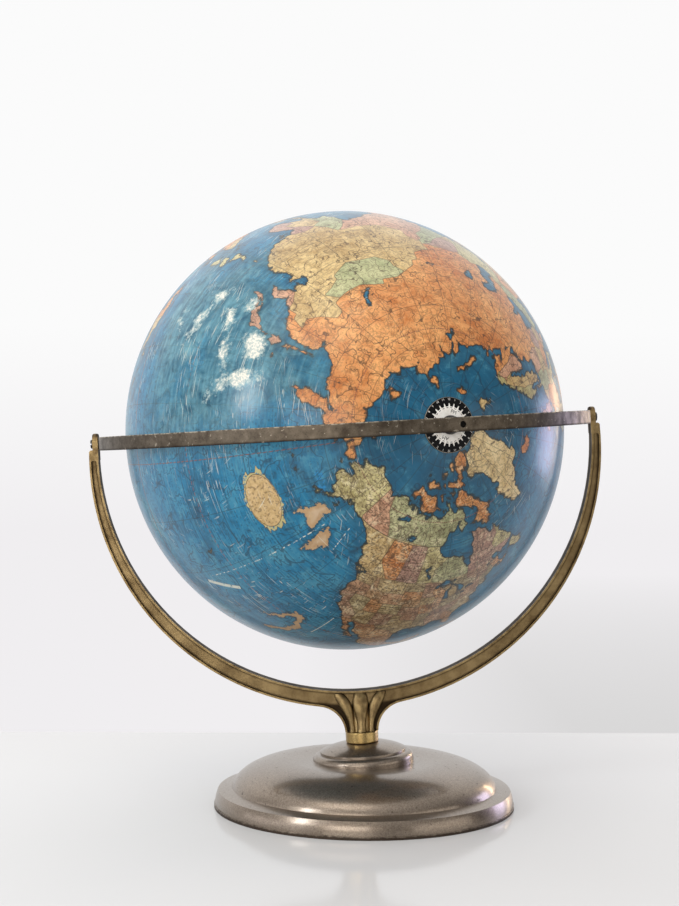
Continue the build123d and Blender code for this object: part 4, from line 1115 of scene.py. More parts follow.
    def build(self) -> Material:
        """Make the map material from the shell's own attributes.

        Returns:
            The material.
        """
        material, tree, place = new_material(self.name)
        sheet = self.sheet(tree, place)
        letters = self.small_print(sheet)
        ragged = add(tree, "SUBTRACT", (sheet.grain, 0.5))
        coves = add(tree, NOISE, {"Vector": place, "Scale": per_mm(5.5), "Detail": 4.0, "Roughness": 0.62})
        coves = add(tree, "SUBTRACT", (coves, 0.5))
        shore = add(tree, "MULTIPLY_ADD", (coves, 5.5, sheet.depth["coast"]))
        shore = add(tree, "MULTIPLY_ADD", (ragged, 1.6, shore))
        ashore = add(tree, RANGE, (shore, -0.1, 0.1))
        coast = sheet.line(shore, 0.36, 0.85, 0.9)
        colour = lay(
            tree, self.ocean(sheet, letters), (ashore, self.land(sheet, letters)), (coast, self.coast_line)
        )
        colour = self.legend(sheet, self.net(sheet, colour))
        colour, worn = self.wear(sheet, colour, ashore)
        # Duller where the varnish is gone; gore seams every 30 degrees stand up a trace
        rough = add(tree, RANGE, (worn, 0.0, 1.0, self.roughness, 0.72))
        coat = add(tree, RANGE, (worn, 0.0, 1.0, 0.4, 0.05))
        seam = add(tree, "PINGPONG", (sheet.lon, 15.0))
        seam = add(tree, "MULTIPLY", (seam, sheet.shrink))
        seam = add(tree, RANGE, (seam, 0.05, 0.3, 0.5, 0.0))
        height = add(tree, "MULTIPLY_ADD", (sheet.grain, 0.35, seam))
        height = add(tree, "SUBTRACT", (height, worn))
        bump = add(tree, BUMP, {"Strength": 0.35, "Distance": 0.12 * MM, "Height": height})
        feeds = {"Base Color": colour, "Roughness": rough, "Specular IOR Level": 0.25, "Normal": bump}
        feeds |= {"Coat Weight": coat, "Coat Roughness": self.varnish_roughness, "Coat IOR": 1.5}
        feeds |= {"Sheen Weight": 0.2, "Sheen Roughness": 0.4, "Sheen Tint": linear(self.varnish_bloom)}
        finish_material(tree, feeds)
        return material


@dataclass(frozen=True)
class Metal:
    """A metal with two tones that cloud into each other, dark pits and a worn gleam."""

    name: str
    light: str
    dark: str
    patina: str
    worn: str
    roughness: float = 0.36
    spread: float = 0.16
    cloud_mm: float = 14.0
    pit_mm: float = 0.9
    pit_depth_mm: float = 0.04
    pits: float = 0.35

    def wear(self, tree: NodeTree, place: NodeSocket) -> tuple[Feed, Feed]:
        """Share of patina and share of rubbed metal; a plain part has neither."""
        return 0.0, 0.0

    def build(self) -> Material:
        """Make the material.

        Returns:
            The material.
        """
        material, tree, place = new_material(self.name)
        feeds = {"Vector": place, "Scale": per_mm(self.cloud_mm), "Detail": 5.0, "Roughness": 0.62}
        cloud = add(tree, NOISE, feeds)
        pit = add(tree, NOISE, {"Vector": place, "Scale": per_mm(self.pit_mm), "Detail": 2.0})
        patina, rubbed = self.wear(tree, place)
        tone = add(tree, RANGE, (cloud, 0.34, 0.66))
        specks = add(tree, RANGE, (pit, 0.58, 0.7, 0.0, self.pits))
        # For the ring and the yoke the wear share also carries painted shade, laid in the third tone
        stain = most(tree, specks, patina)
        colour = lay(tree, self.light, (tone, self.dark), (stain, self.patina), (rubbed, self.worn))
        smooth, dull = self.roughness - self.spread / 2, self.roughness + self.spread / 2
        rough = add(tree, RANGE, (cloud, 0.3, 0.7, smooth, dull))
        rough = add(tree, "MULTIPLY_ADD", (stain, 0.22, rough))
        bump = add(tree, BUMP, {"Strength": 0.4, "Distance": self.pit_depth_mm * MM, "Height": pit})
        finish_material(tree, {"Base Color": colour, "Metallic": 1.0, "Roughness": rough, "Normal": bump})
        return material


@dataclass(frozen=True)
class ChannelBrass(Metal):
    """Cast brass, antiqued: patina and painted shade in the channel's corners, rubbed bright on its lips."""

    inner_centre: Spot = (0.0, 0.0, 0.0)
    outer_centre: Spot = (0.0, 0.0, 0.0)
    inner_radius: float = 0.17368
    outer_radius: float = 0.18004

    def wear(self, tree: NodeTree, place: NodeSocket) -> tuple[Feed, Feed]:
        """Patina and painted shade follow both edges of the bow in the channel; the lips stand furthest
        forward.

        Args:
            tree: Tree of the material.
            place: Object coordinates.

        Returns:
            Share of patina with painted shade, and share of rubbed metal.
        """
        inner = add(tree, VECTOR, (place, self.inner_centre), operation="DISTANCE")
        inner = add(tree, "SUBTRACT", (inner, self.inner_radius))
        outer = add(tree, VECTOR, (place, self.outer_centre), operation="DISTANCE")
        outer = add(tree, "SUBTRACT", (self.outer_radius, outer))
        lip = add(tree, "MINIMUM", (inner, outer))
        # Painted shade mixed with patina: darker where the channel's floor meets its flanges
        corner = add(tree, RANGE, (lip, 1.2 * MM, 3.0 * MM, 0.92, 0.12))
        depth = add(tree, "ABSOLUTE", (add(tree, SPLIT, (place,)).outputs["Y"],))
        sunk = add(tree, RANGE, (depth, 4.2 * MM, 5.6 * MM, 1.0, 0.0))
        patina = add(tree, "MULTIPLY", (corner, sunk))
        blotch = add(tree, NOISE, {"Vector": place, "Scale": per_mm(5), "Detail": 3.0})
        rub = add(tree, RANGE, (blotch, 0.42, 0.62, 0.0, 0.6))
        proud = add(tree, RANGE, (depth, 5.3 * MM, 5.9 * MM))
        return patina, add(tree, "MULTIPLY", (rub, proud))


@dataclass(frozen=True)
class StripBrass(Metal):
    """Brown brass strip: its upper edge rubbed and lit by a painted highlight, its lower in painted shade."""

    centre: Spot = (0.0, 0.0, 0.0)
    axis: Spot = (0.0, 0.0, 1.0)

    def wear(self, tree: NodeTree, place: NodeSocket) -> tuple[Feed, Feed]:
        """Rub in patches and a painted highlight along the upper edge; painted shade along the lower one.

        Args:
            tree: Tree of the material.
            place: Object coordinates.

        Returns:
            Share of painted shade on the lower edge, and of rub and painted highlight on the upper.
        """
        offset = add(tree, VECTOR, (place, self.centre), operation="SUBTRACT")
        across = add(tree, VECTOR, (offset, self.axis), operation="DOT_PRODUCT")
        # Painted highlight along the upper edge of the strip, painted shade along its lower edge
        edge = add(tree, RANGE, (across, 3.7 * MM, 4.4 * MM))
        dirt = add(tree, RANGE, (across, -3.0 * MM, -4.6 * MM, 0.0, 0.85))
        blotch = add(tree, NOISE, {"Vector": place, "Scale": per_mm(2.6), "Detail": 4.0})
        rub = add(tree, RANGE, (blotch, 0.45, 0.6, 0.0, 0.85))
        spot = add(tree, RANGE, (blotch, 0.64, 0.7, 0.0, 0.5))
        rub = add(tree, "MULTIPLY", (rub, edge))
        return dirt, most(tree, rub, spot)


@dataclass(frozen=True)
class FlakeLacquer:
    """Grey-brown flake lacquer on spun steel under clear gloss: chipped, dirt specks, painted shadow at the
    foot.
    """

    name: str = "grey_bronze_lacquer"
    light: str = "#948779"
    dark: str = "#66594b"
    dirt: str = "#33281f"
    chip: str = "#c9baa9"
    roughness: float = 0.3
    gloss_roughness: float = 0.1

    def build(self) -> Material:
        """Make the material.

        Returns:
            The material.
        """
        material, tree, place = new_material(self.name)
        cloud = add(tree, NOISE, {"Vector": place, "Scale": per_mm(30), "Detail": 4.0})
        # Real flake is a few hundredths of a millimetre; it is drawn ten times coarser so that it shows
        flake = add(tree, CELLS, {"Vector": place, "Scale": per_mm(0.6)})
        glint = add(tree, "ShaderNodeSeparateColor", (flake.outputs["Color"],))
        glint = add(tree, RANGE, (glint, 0.0, 1.0, 0.0, 0.6))
        tone = add(tree, "MULTIPLY_ADD", (cloud, 0.3, glint))
        nick = add(tree, NOISE, {"Vector": place, "Scale": per_mm(3.2), "Detail": 4.0, "Roughness": 0.65})
        # Painted contact shadow: a dark band along the foot where it sits on the table, ragged by noise;
        # grime adds real dirt specks
        foot_shadow = add(tree, "MULTIPLY", (nick, 3.0 * MM))
        foot_shadow = add(tree, "SUBTRACT", (add(tree, SPLIT, (place,)).outputs["Z"], foot_shadow))
        foot_shadow = add(tree, RANGE, (foot_shadow, 0.0, 0.9 * MM, 0.9, 0.0))
        grime = add(tree, RANGE, (nick, 0.64, 0.7, 0.0, 0.7))
        dirt = most(tree, foot_shadow, grime)
        chips = add(tree, RANGE, (nick, 0.3, 0.26, 0.0, 0.7))
        colour = lay(tree, self.light, (tone, self.dark), (dirt, self.dirt), (chips, self.chip))
        rough = add(tree, RANGE, (dirt, 0.0, 1.0, self.roughness, 0.7))
        coat = add(tree, RANGE, (dirt, 0.0, 1.0, 0.3, 0.05))
        bump = add(tree, BUMP, {"Strength": 0.12, "Distance": 0.05 * MM, "Height": glint})
        feeds = {"Base Color": colour, "Metallic": 0.8, "Roughness": rough, "Normal": bump}
        feeds |= {"Coat Weight": coat, "Coat Roughness": self.gloss_roughness}
        finish_material(tree, feeds)
        return material


@dataclass(frozen=True)
class Fibre:
    """Board or wood: a dull body with streaks along one direction."""

    name: str
    light: str
    dark: str
    stretch: Spot = (1.0, 1.0, 1.0)
    grain_mm: float = 2.0

    def build(self) -> Material:
        """Make the material.

        Returns:
            The material.
        """
        material, tree, place = new_material(self.name)
        lined = add(tree, "ShaderNodeMapping", {"Vector": place, "Scale": self.stretch})
        grain = add(tree, NOISE, {"Vector": lined, "Scale": per_mm(self.grain_mm), "Detail": 4.0})
        colour = lay(tree, self.light, (grain, self.dark))
        bump = add(tree, BUMP, {"Strength": 0.3, "Distance": 0.1 * MM, "Height": grain})
        finish_material(tree, {"Base Color": colour, "Roughness": 0.8, "Normal": bump})
        return material


@dataclass(frozen=True)
class Enamel:
    """Screened enamel on the tin dial: an even colour with faint yellowing and rubbed specks."""

    name: str
    light: str
    dark: str
    roughness: float = 0.34
    gloss: float = 0.5

    def build(self) -> Material:
        """Make the material.

        Returns:
            The material.
        """
        material, tree, place = new_material(self.name)
        stain = add(tree, NOISE, {"Vector": place, "Scale": per_mm(4), "Detail": 4.0, "Roughness": 0.65})
        tone = add(tree, RANGE, (stain, 0.45, 0.75))
        colour = lay(tree, self.light, (tone, self.dark))
        rough = add(tree, RANGE, (tone, 0.0, 1.0, self.roughness, self.roughness + 0.2))
        finish_material(tree, {"Base Color": colour, "Roughness": rough, "Specular IOR Level": self.gloss})
        return material


def new_piece(name: str, mesh: Mesh, body: str) -> Object:
    """Put a finished mesh in the scene as a piece of the object.

    Args:
        name: Name of the piece.
        mesh: Mesh in the shared frame.
        body: CAD body it rides on.

    Returns:
        The piece.
    """
    piece = bpy.data.objects.new(name, mesh)
    bpy.context.scene.collection.objects.link(piece)
    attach(piece, body)
    log.info("%s rides on %s with %d faces", name, body, len(mesh.polygons))
    return piece


def dress(nodes: Sequence[str], material: Material) -> None:
    """Give CAD nodes a finish through their objects' material slots.

    Args:
        nodes: Names of the nodes.
        material: The finish.
    """
    for name in nodes:
        node = frame["nodes"][name]
        if not node.material_slots:
            node.data.materials.append(material)
        for slot in node.material_slots:
            slot.link = "OBJECT"
            slot.material = material
        log.info("%s is dressed in %s", name, material.name)


def places(mesh: Mesh) -> np.ndarray:
    """Places of a mesh's vertices.

    Args:
        mesh: The mesh.

    Returns:
        One row for each vertex.
    """
    points = np.zeros(len(mesh.vertices) * 3)
    mesh.vertices.foreach_get("co", points)
    return points.reshape(-1, 3)


@dataclass
class Ball:
    """The papered ball: two shells of board that carry the printed gores."""

    centre: Vector
    north: Vector
    radius: float = 0.1536
    wall: float = 0.003
    bore: float = 0.0021
    columns: int = 600
    rows: int = 150
    inner_rows: int = 8
    sharp_angle: float = 40.0
    front_longitude: float = 174.3
    legend: Mark = Mark(195.3, 42.0, 17.6, 10.7)
    paper: PrintedMap = field(default_factory=PrintedMap)
    board: Fibre = Fibre("bare_millboard", "#a98c66", "#7d6446")
    dowel: Fibre = Fibre("beech_dowel", "#c49a63", "#9a7040", (1.0, 0.15, 1.0), 1.4)

    def axes(self) -> np.ndarray:
        """Find the ball's own frame.

        Returns:
            Rows that turn a direction in the shared frame into the ball's own.
        """
        north = np.array(self.north)
        front = np.array((0.0, -1.0, 0.0))
        front = unit(front - north * (front @ north))
        side = np.cross(north, front)
        turn = math.radians(self.front_longitude)
        zero = front * math.cos(turn) - side * math.sin(turn)
        return np.stack([zero, np.cross(north, zero), north])

    def shell_mesh(self, name: str, pole: np.ndarray) -> Mesh:
        """Build one hollow half as a closed grid, from the pole's hole out to the equator and back inside.

        Args:
            name: Name of the mesh.
            pole: Unit vector of this half's pole.

        Returns:
            The mesh, with bake coordinates and the board on its inside faces.
        """
        axes = self.axes()
        first, second = axes[0], np.cross(pole, axes[0])
        outer = np.linspace(math.asin(self.bore / self.radius), math.pi / 2, self.rows + 1)
        inner_radius = self.radius - self.wall
        inner = np.linspace(math.pi / 2, math.asin(self.bore / inner_radius), self.inner_rows + 1)
        polar = np.concatenate([outer, inner])
        radii = np.concatenate([np.full(len(outer), self.radius), np.full(len(inner), inner_radius)])
        around = np.arange(self.columns) * 2 * math.pi / self.columns
        flat = np.cos(around)[:, None] * first + np.sin(around)[:, None] * second
        points = np.sin(polar)[:, None, None] * flat + np.cos(polar)[:, None, None] * pole
        points = (radii[:, None, None] * points).reshape(-1, 3) + np.array(self.centre)
        rings = len(polar)
        ring, column = np.meshgrid(np.arange(rings), np.arange(self.columns), indexing="ij")
        after, beside = (ring + 1) % rings, (column + 1) % self.columns
        corners = np.stack([ring, after, after, ring], axis=-1) * self.columns
        corners = (corners + np.stack([column, column, beside, beside], axis=-1)).reshape(-1, 4)
        mesh = bpy.data.meshes.new(name)
        mesh.from_pydata(points.tolist(), [], corners.tolist())
        mesh.polygons.foreach_set("material_index", (ring.reshape(-1) >= self.rows).astype(np.int32))
        mesh.shade_smooth()
        mesh.set_sharp_from_angle(angle=math.radians(self.sharp_angle))
        # Bake coordinates: the outside as a disc about the pole, the inside as a small disc in a corner
        corner, outer_size, inner_size = 0.09, 0.98, 0.17
        rim_inside, rim_outside, hole_edge = 0.085, 0.088, 0.002
        spread = np.concatenate([outer / math.pi * outer_size, inner / math.pi * inner_size])
        middle = np.where(np.arange(rings) <= self.rows, 0.5, corner)
        rim = ring.reshape(-1) == self.rows
        hole = ring.reshape(-1) == rings - 1
        reach, home = (
            np.stack([of_ring[ring], of_ring[after], of_ring[after], of_ring[ring]], axis=-1).reshape(-1, 4)
            for of_ring in (spread, middle)
        )
        reach[rim] = (rim_outside, rim_inside, rim_inside, rim_outside)
        home[rim] = corner
        reach[hole] = (hole_edge, reach[0, 0], reach[0, 0], hole_edge)
        home[hole] = 0.5
        step = np.stack([column, column, column + 1, column + 1], axis=-1).reshape(-1, 4)
        step = step * 2 * math.pi / self.columns
        uv = np.stack([home + reach * np.cos(step), home + reach * np.sin(step)], axis=-1)
        mesh.uv_layers.new(name="OFBake").data.foreach_set("uv", uv.reshape(-1))
        return mesh

    def print_map(self, mesh: Mesh) -> None:
        """Store the map on a shell as depths in millimetres, and each point's own direction.

        Args:
            mesh: One half of the ball.
        """
        spots = (places(mesh) - np.array(self.centre)) @ self.axes().T
        spots /= np.linalg.norm(spots, axis=1, keepdims=True)
        atlas = Atlas(spots, self.radius / MM)
        plate, scroll = atlas.legend(self.legend)
        fields = {"coast": atlas.coast(), "scuff": atlas.scuffs(), "board": atlas.bare_board()}
        fields |= {"legend": plate, "scroll": scroll}
        fields |= {ink.depth_name: depth for ink, depth in atlas.tints().items()}
        for name, depth in fields.items():
            mesh.attributes.new(name, "FLOAT", "POINT").data.foreach_set("value", depth)
        mesh.attributes.new("polar", "FLOAT_VECTOR", "POINT").data.foreach_set("vector", spots.reshape(-1))

    def build(self) -> None:
        """Build, print and place both halves, and dress the hidden rod, blocks and hoop."""
        paper, board = self.paper.build(), self.board.build()
        for half, sign in (("north", 1), ("south", -1)):
            mesh = self.shell_mesh(f"{half}_map_shell", np.array(self.north) * sign)
            mesh.materials.append(paper)
            mesh.materials.append(board)
            self.print_map(mesh)
            piece = new_piece(f"{half}_map_shell", mesh, "ball")
            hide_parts(f"{half}_hemisphere")
        dress(("equator_hoop",), board)
        dress(("axis_rod", "north_pole_block", "south_pole_block"), self.dowel.build())


@dataclass
class HourDial:
    """The tin hour dial about the north pole: printed rings, hour ticks and numerals."""

    centre: Vector
    north: Vector
    dish: float = 0.1545
    thickness: float = 0.0006
    edge_round: float = 0.0001
    bore: float = 0.0021
    ring_edges: tuple[float, ...] = (0.0106, 0.011, 0.0116, 0.0172, 0.0175)
    back_rings: tuple[float, ...] = (0.0142, 0.0108, 0.0072)
    numeral_radius: float = 0.0161
    numeral_height: float = 0.0019
    half_day_radius: float = 0.0086
    half_day_height: float = 0.0032
    tick_radius: float = 0.0136
    tick_length: float = 0.0038
    tick_width: float = 0.0018
    tick_taper: float = 0.16
    print_thickness: float = 0.00003
    hours: int = 24
    sides: int = 120
    middle_rings: int = 4
    sharp_angle: float = 35.0

    def lay_flat(self, flat: np.ndarray) -> np.ndarray:
        """Bend points of a flat drawing on to the dished face.

        Args:
            flat: Points with x to the right and y up as the dial is read, and z above its face.

        Returns:
            Points in the shared frame.
        """
        north = np.array(self.north)
        up = np.array((0.0, 0.0, 1.0))
        up = unit(up - north * (up @ north))
        right = np.cross(up, north)
        out = np.hypot(flat[:, 0], flat[:, 1])
        rise = np.sqrt((self.dish + flat[:, 2]) ** 2 - out**2)
        return np.array(self.centre) + flat[:, :1] * right + flat[:, 1:2] * up + rise[:, None] * north

    def disc_mesh(self, finishes: Sequence[Material]) -> Mesh:
        """Build the dished disc as rings, each with its own enamel.

        Args:
            finishes: One material for each ring from the middle out.

        Returns:
            The closed mesh.
        """
        face = np.linspace(self.bore, self.ring_edges[0], self.middle_rings + 1).tolist()
        face += self.ring_edges[1:]
        owner = [0] * self.middle_rings + [1, 2, 3, 4]
        rim = face.pop()
        profile = [(out, 0.0) for out in face] + [(rim - self.edge_round, 0.0), (rim, -self.edge_round)]
        profile += [(out, -self.thickness) for out in (rim, *self.back_rings, self.bore)]
        owner += [4] * (len(profile) - len(owner))
        around = np.arange(self.sides) * 2 * math.pi / self.sides
        rings = len(profile)
        flat = np.array([(out * math.cos(a), out * math.sin(a), z) for out, z in profile for a in around])
        corners = []
        for ring in range(rings):
            for side in range(self.sides):
                beside, after = (side + 1) % self.sides, (ring + 1) % rings
                spots = ((ring, side), (after, side), (after, beside), (ring, beside))
                corners.append([r * self.sides + s for r, s in spots])
        mesh = bpy.data.meshes.new("dial_disc")
        mesh.from_pydata(self.lay_flat(flat).tolist(), [], corners)
        for finish in finishes:
            mesh.materials.append(finish)
        mesh.polygons.foreach_set("material_index", np.repeat(np.array(owner, np.int32), self.sides))
        mesh.shade_smooth()
        mesh.set_sharp_from_angle(angle=math.radians(self.sharp_angle))
        return mesh

    def tick_mesh(self, finish: Material) -> Mesh:
        """Instance one tapered stroke at each hour with Geometry Nodes and bend the ring on to the dish.

        Args:
            finish: Enamel of the strokes.

        Returns:
            The mesh of all ticks.
        """
        values = {"Count": self.hours, "Radius": self.tick_radius}
        values |= {"Length": self.tick_length, "Width": self.tick_width}
        tree = bpy.data.node_groups.new("hour_ticks", "GeometryNodeTree")
        tree.interface.new_socket("Geometry", in_out="OUTPUT", socket_type="NodeSocketGeometry")
        for name, value in values.items():
            kind = "NodeSocketInt" if isinstance(value, int) else "NodeSocketFloat"
            tree.interface.new_socket(name, in_out="INPUT", socket_type=kind)
        given = add(tree, "NodeGroupInput").outputs
        circle = add(tree, "GeometryNodeMeshCircle", {"Vertices": given["Count"], "Radius": given["Radius"]})
        half = add(tree, "MULTIPLY", (given["Width"], 0.5))
        tip = add(tree, "MULTIPLY", (given["Width"], self.tick_taper))
        cone = {"Vertices": 8, "Radius Top": half, "Radius Bottom": tip, "Depth": given["Length"]}
        stroke = add(tree, "GeometryNodeMeshCone", cone)
        thin = self.print_thickness / self.tick_width
        flat = {"Geometry": stroke.outputs["Mesh"], "Scale": (thin, 1.0, 1.0)}
        stroke = add(tree, "GeometryNodeTransform", flat)
        tipped = {"Geometry": stroke, "Rotation": (0.0, -math.pi / 2, 0.0)}
        stroke = add(tree, "GeometryNodeTransform", tipped)
        place = add(tree, "GeometryNodeInputPosition")
        facing = add(tree, "FunctionNodeAlignRotationToVector", {"Vector": place}, axis="X", pivot_axis="Z")
        spread = {"Points": circle, "Instance": stroke, "Rotation": facing}
        ticks = add(tree, "GeometryNodeInstanceOnPoints", spread)
        solid = add(tree, "GeometryNodeRealizeInstances", (ticks,))
        painted = add(tree, "GeometryNodeSetMaterial", {"Geometry": solid, "Material": finish})
        add(tree, "NodeGroupOutput", (painted,))
        holder = bpy.data.objects.new("tick_holder", bpy.data.meshes.new("tick_holder"))
        bpy.context.scene.collection.objects.link(holder)
        modifier = holder.modifiers.new("ticks", "NODES")
        modifier.node_group = tree
        for item in tree.interface.items_tree:
            if item.in_out == "INPUT":
                modifier[item.identifier] = values[item.name]
        shown = holder.evaluated_get(bpy.context.evaluated_depsgraph_get())
        mesh = bpy.data.meshes.new_from_object(shown)
        bpy.data.objects.remove(holder)
        points = places(mesh)
        points[:, 2] += self.print_thickness / 2
        mesh.vertices.foreach_set("co", self.lay_flat(points).reshape(-1))
        mesh.update()
        return mesh

    def text_mesh(
        self, name: str, words: Sequence[tuple[str, float]], out: float, height: float, finish: Material
    ) -> Mesh:
        """Set words round the dial as one mesh.

        Args:
            name: Name of the mesh.
            words: For each word its text and its clockwise angle from the top.
            out: Distance from the middle.
            height: Height of the type.
            finish: Enamel of the type.

        Returns:
            The mesh, bent on to the dish.
        """
        lift = self.print_thickness / 2
        points, corners = [], []
        for text, angle in words:
            curve = bpy.data.curves.new("word", "FONT")
            curve.body = text
            curve.size = height
            curve.align_x = "CENTER"
            curve.align_y = "CENTER"
            curve.resolution_u = 3
            curve.extrude = lift
            holder = bpy.data.objects.new("word", curve)
            bpy.context.scene.collection.objects.link(holder)
            shown = holder.evaluated_get(bpy.context.evaluated_depsgraph_get())
            mesh = bpy.data.meshes.new_from_object(shown)
            bpy.data.objects.remove(holder)
            turn = Matrix.Rotation(-math.radians(angle), 4, "Z") @ Matrix.Translation((0.0, out, lift))
            start = len(points)
            points += [tuple(turn @ vertex.co) for vertex in mesh.vertices]
            corners += [[start + i for i in polygon.vertices] for polygon in mesh.polygons]
        mesh = bpy.data.meshes.new(name)
        mesh.from_pydata(self.lay_flat(np.array(points)).tolist(), [], corners)
        mesh.materials.append(finish)
        return mesh

    def build(self) -> None:
        """Build and place the disc, ticks, numerals and half-day marks."""
        white = Enamel("ivory_dial_enamel", "#f5f3ee", "#dcd6ca").build()
        black = Enamel("black_dial_enamel", "#08080a", "#121113", 0.5, 0.12).build()
        edge = Metal("nickelled_tin", "#8f897c", "#6a6357", "#3f382f", "#b5afa2", 0.34).build()
        disc = self.disc_mesh((white, black, white, black, edge))
        disc = new_piece("dial_disc", disc, "dial")
        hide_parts("hour_dial")
        new_piece("dial_ticks", self.tick_mesh(white), "dial")
        step = 360 / self.hours
        hours = [(str(hour % 12 or 12), step * hour) for hour in range(self.hours)]
        hours = self.text_mesh("dial_numerals", hours, self.numeral_radius, self.numeral_height, white)
        new_piece("dial_numerals", hours, "dial")
        halves = (("AM", 200), ("PM", 20))
        halves = self.text_mesh("dial_half_days", halves, self.half_day_radius, self.half_day_height, black)
        new_piece("dial_half_days", halves, "dial")


@dataclass
class Ring:
    """The full meridian ring that carries the ball's pins."""

    centre: Vector
    across: Vector
    north: Vector

    def build(self) -> None:
        """Dress the ring and the steel that turns in it."""
        # The third tone is also the painted shade of the strip's lower edge, the fourth also the painted
        # highlight of its upper edge
        tones = ("#655c50", "#443c33", "#1d1915", "#b3aa98", 0.46)
        axis = tuple(self.north.cross(self.across).normalized())
        strip = StripBrass("browned_brass_strip", *tones, cloud_mm=9.0, centre=tuple(self.centre), axis=axis)
        dress(("meridian_ring",), strip.build())
        steel = Metal("blackened_steel", "#1d1b19", "#131211", "#0c0b0b", "#5b564f", 0.4, pits=0.5).build()
        dress(("north_pivot_pin", "south_pivot_pin", "north_hub", "south_hub"), steel)


@dataclass
class Stand:
    """The cast yoke with its pivots, collar and stem fixings."""

    centre: Vector
    across: Vector
    inner_drop: float = 0.0098
    outer_drop: float = 0.015139

    def build(self) -> None:
        """Dress the cast, turned and steel pieces of the stand."""
        up = Vector((-self.across.z, 0.0, self.across.x))
        inner, outer = (tuple(self.centre - up * drop) for drop in (self.inner_drop, self.outer_drop))
        # The third tone is patina and also the painted shade in the channel's corners
        tones = ("#927d58", "#6c593c", "#2b2017", "#a08a60", 0.42)
        cast = ChannelBrass("antiqued_cast_brass", *tones, inner_centre=inner, outer_centre=outer)
        dress(("yoke",), cast.build())
        turned = Metal("turned_brass", "#b59c68", "#967c4e", "#43351e", "#c9b684", 0.28, cloud_mm=8.0)
        dress(("collar",), turned.build())
        steel = Metal("blackened_screw_steel", "#55514b", "#3b3833", "#201d1a", "#a09a8e", 0.32).build()
        dress(("left_pivot_screw", "right_pivot_screw", "left_pivot_washer", "right_pivot_washer"), steel)
        plain = Metal("zinc_plated_steel", "#a9abac", "#888a8a", "#4d4b48", "#c9cbcc", 0.4).build()
        dress(("stem_bolt", "stem_washer", "lock_washer"), plain)


@dataclass
class Base:
    """The spun base and the cover plate under the collar."""

    lacquer: FlakeLacquer = field(default_factory=FlakeLacquer)

    def build(self) -> None:
        """Dress both in the same lacquer."""
        dress(("base_shell", "cover_plate"), self.lacquer.build())


@dataclass(frozen=True)
class Lamp:
    """A soft rectangular light: its place from the ball's middle, its size, power and colour."""

    name: str
    offset: Spot
    size: tuple[float, float]
    watts: float
    tint: str

    def hang(self, target: Vector) -> None:
        """Hang the light so that it faces the ball.

        Args:
            target: Middle of the ball.
        """
        lamp = bpy.data.lights.new(self.name, "AREA")
        lamp.shape = "RECTANGLE"
        lamp.size, lamp.size_y = self.size
        lamp.energy = self.watts
        lamp.color = linear(self.tint)[:3]
        holder = bpy.data.objects.new(self.name, lamp)
        holder.location = target + Vector(self.offset)
        holder.rotation_euler = (target - holder.location).to_track_quat("-Z", "Y").to_euler()
        bpy.context.scene.collection.objects.link(holder)


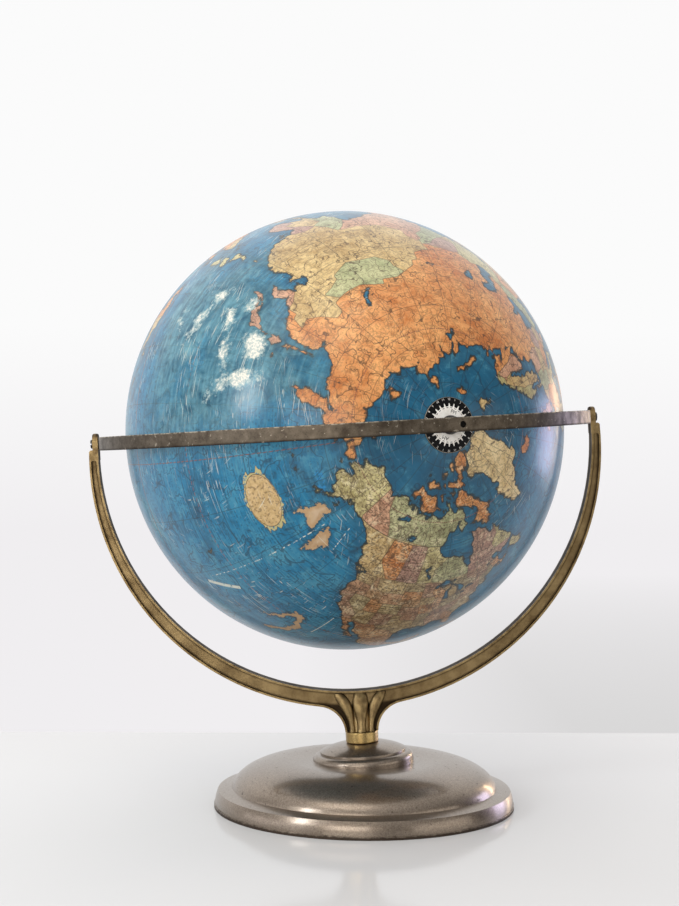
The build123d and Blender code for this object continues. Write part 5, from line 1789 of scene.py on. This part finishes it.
@dataclass
class Studio:
    """The table, the light of the room and the camera."""

    floor_half: float = 3.0
    table_edge: float = 0.277
    edge_blur: float = 0.004
    table: str = "#d9d9d9"
    near_table: str = "#d1d1d1"
    shaded_table: str = "#a09d9a"
    wall: str = "#f0eef0"
    shaded_wall: str = "#d9d8d8"
    high_wall: str = "#fbfbfb"
    room: str = "#fbfafa"
    camera_place: Spot = (-0.0449, -1.1694, 0.264)
    aim: Spot = (0.0383, 0.99927, 0.0)
    roll: float = 0.55
    lens: float = 65.8
    shift: tuple[float, float] = (-0.031, -0.0249)
    lamps: tuple[Lamp, ...] = (
        Lamp("ceiling_lamp", (-0.5, -1.0, 1.5), (1.4, 1.0), 9.0, "#fff8ee"),
        Lamp("left_window", (-1.21, -1.0, 0.4), (0.3, 0.45), 7.5, "#f6faff"),
        Lamp("front_window", (-0.55, -2.2, 0.22), (1.3, 0.6), 12.0, "#fffaf4"),
        Lamp("left_wall", (-1.6, -0.5, -0.1), (1.8, 0.4), 3.0, "#fbfaff"),
        Lamp("right_fill", (1.5, -0.9, 0.0), (1.6, 0.7), 5.5, "#fffaf4"),
        Lamp("right_window", (1.29, 0.76, -0.02), (0.45, 0.46), 3.8, "#dad5fd"),
        Lamp("right_curtain", (0.99, 1.13, -0.01), (0.1, 0.5), 2.2, "#ffdfb8"),
    )

    def lay_floor(self) -> None:
        """Lay the table top; beyond its far edge it shows the plain wall's white."""
        half, edge, blur = self.floor_half, self.table_edge, self.edge_blur
        mesh = bpy.data.meshes.new("table_top")
        corners = [(-half, -half, 0), (half, -half, 0), (half, half, 0), (-half, half, 0)]
        mesh.from_pydata(corners, [], [(0, 1, 2, 3)])
        material, tree, place = new_material("white_table_and_wall")
        spot = add(tree, SPLIT, (place,)).outputs
        beyond = add(tree, RANGE, (spot["Y"], edge - blur, edge + blur))
        # Painted shade: the table top is drawn darker towards the front
        near = add(tree, RANGE, (spot["Y"], 0.1, -0.25))
        # Little light comes back up under the ball, so the table is white to the eye and grey as a lamp
        path = add(tree, "ShaderNodeLightPath").outputs
        seen = most(tree, path["Is Camera Ray"], path["Is Glossy Ray"])
        tint = lay(tree, self.shaded_table, (seen, lay(tree, self.table, (near, self.near_table))))
        finish = {"Base Color": tint, "Roughness": 0.1, "Specular IOR Level": 0.1}
        top = add(tree, "ShaderNodeBsdfPrincipled", finish)
        right = add(tree, RANGE, (spot["X"], -0.05, 0.2))
        low = add(tree, RANGE, (spot["Y"], 0.3, 1.9, 1.0, 0.0))
        shade = add(tree, "MULTIPLY", (right, low))
        wall = lay(tree, self.wall, (shade, self.shaded_wall))
        wall = add(tree, "ShaderNodeEmission", {"Color": wall, "Strength": 1.0})
        both = add(tree, "ShaderNodeMixShader", (beyond, top, wall))
        add(tree, "ShaderNodeOutputMaterial", {"Surface": both})
        mesh.materials.append(material)
        floor = bpy.data.objects.new("table_top", mesh)
        bpy.context.scene.collection.objects.link(floor)

    def fill_room(self) -> None:
        """Light the room: a bright ceiling and back wall, a paler left side and a dim front."""
        world = bpy.data.worlds.new("room")
        bpy.context.scene.world = world
        world.use_nodes = True
        tree = world.node_tree
        tree.nodes.clear()
        heading = add(tree, SPLIT, (add(tree, PLACE).outputs["Generated"],)).outputs
        level = 0.36
        back, ceiling = ("Y", 0.05, 0.65, 0.6), ("Z", 0.1, 0.9, 0.7)
        left, right = ("X", -0.2, -0.85, 0.15), ("X", 0.2, 0.85, -0.4)
        for axis, start, end, gain in (back, ceiling, left, right):
            feeds = (heading[axis], start, end, 0.0, gain)
            part = add(tree, RANGE, feeds, interpolation_type="SMOOTHSTEP")
            level = add(tree, "ADD", (level, part))
        seen = add(tree, "ShaderNodeLightPath").outputs["Is Camera Ray"]
        room = add(tree, "ShaderNodeBackground", {"Color": linear(self.room), "Strength": level})
        rise = add(tree, RANGE, (heading["Z"], -0.06, 0.06))
        wall = lay(tree, self.wall, (rise, self.high_wall))
        wall = add(tree, "ShaderNodeBackground", {"Color": wall, "Strength": 1.0})
        both = add(tree, "ShaderNodeMixShader", (seen, room, wall))
        add(tree, "ShaderNodeOutputWorld", {"Surface": both})

    def set_camera(self) -> None:
        """Place the camera that took the photo."""
        lens = bpy.data.cameras.new("camera")
        lens.lens = self.lens
        lens.sensor_width = 36.0
        lens.shift_x, lens.shift_y = self.shift
        camera = bpy.data.objects.new("camera", lens)
        forward = Vector(self.aim).normalized()
        right = forward.cross(Vector((0.0, 0.0, 1.0))).normalized()
        turn = Matrix((right, right.cross(forward), -forward)).transposed().to_4x4()
        turn = turn @ Matrix.Rotation(math.radians(self.roll), 4, "Z")
        camera.matrix_world = Matrix.Translation(self.camera_place) @ turn
        bpy.context.scene.collection.objects.link(camera)
        bpy.context.scene.camera = camera

    def build(self, target: Vector) -> None:
        """Set the table, the lights and the camera.

        Args:
            target: Middle of the ball, which the lights face.
        """
        self.lay_floor()
        self.fill_room()
        for lamp in self.lamps:
            lamp.hang(target)
        self.set_camera()
        bpy.context.scene.view_settings.view_transform = "Standard"


def main() -> None:
    """Build every sub-assembly in order."""
    logging.basicConfig(level=logging.INFO, format="%(message)s")
    joints = {joint["name"]: joint for joint in frame["joints"]}
    centre = Vector(joints["globe_spin"]["pos_m"])
    north = Vector(joints["globe_spin"]["axis"]).normalized()
    across = Vector(joints["ring_swing"]["axis"]).normalized()
    Base().build()
    Stand(centre, across).build()
    Ring(centre, across, north).build()
    Ball(centre, north).build()
    HourDial(centre, north).build()
    Studio().build(centre)


if __name__ == "__main__":
    main()
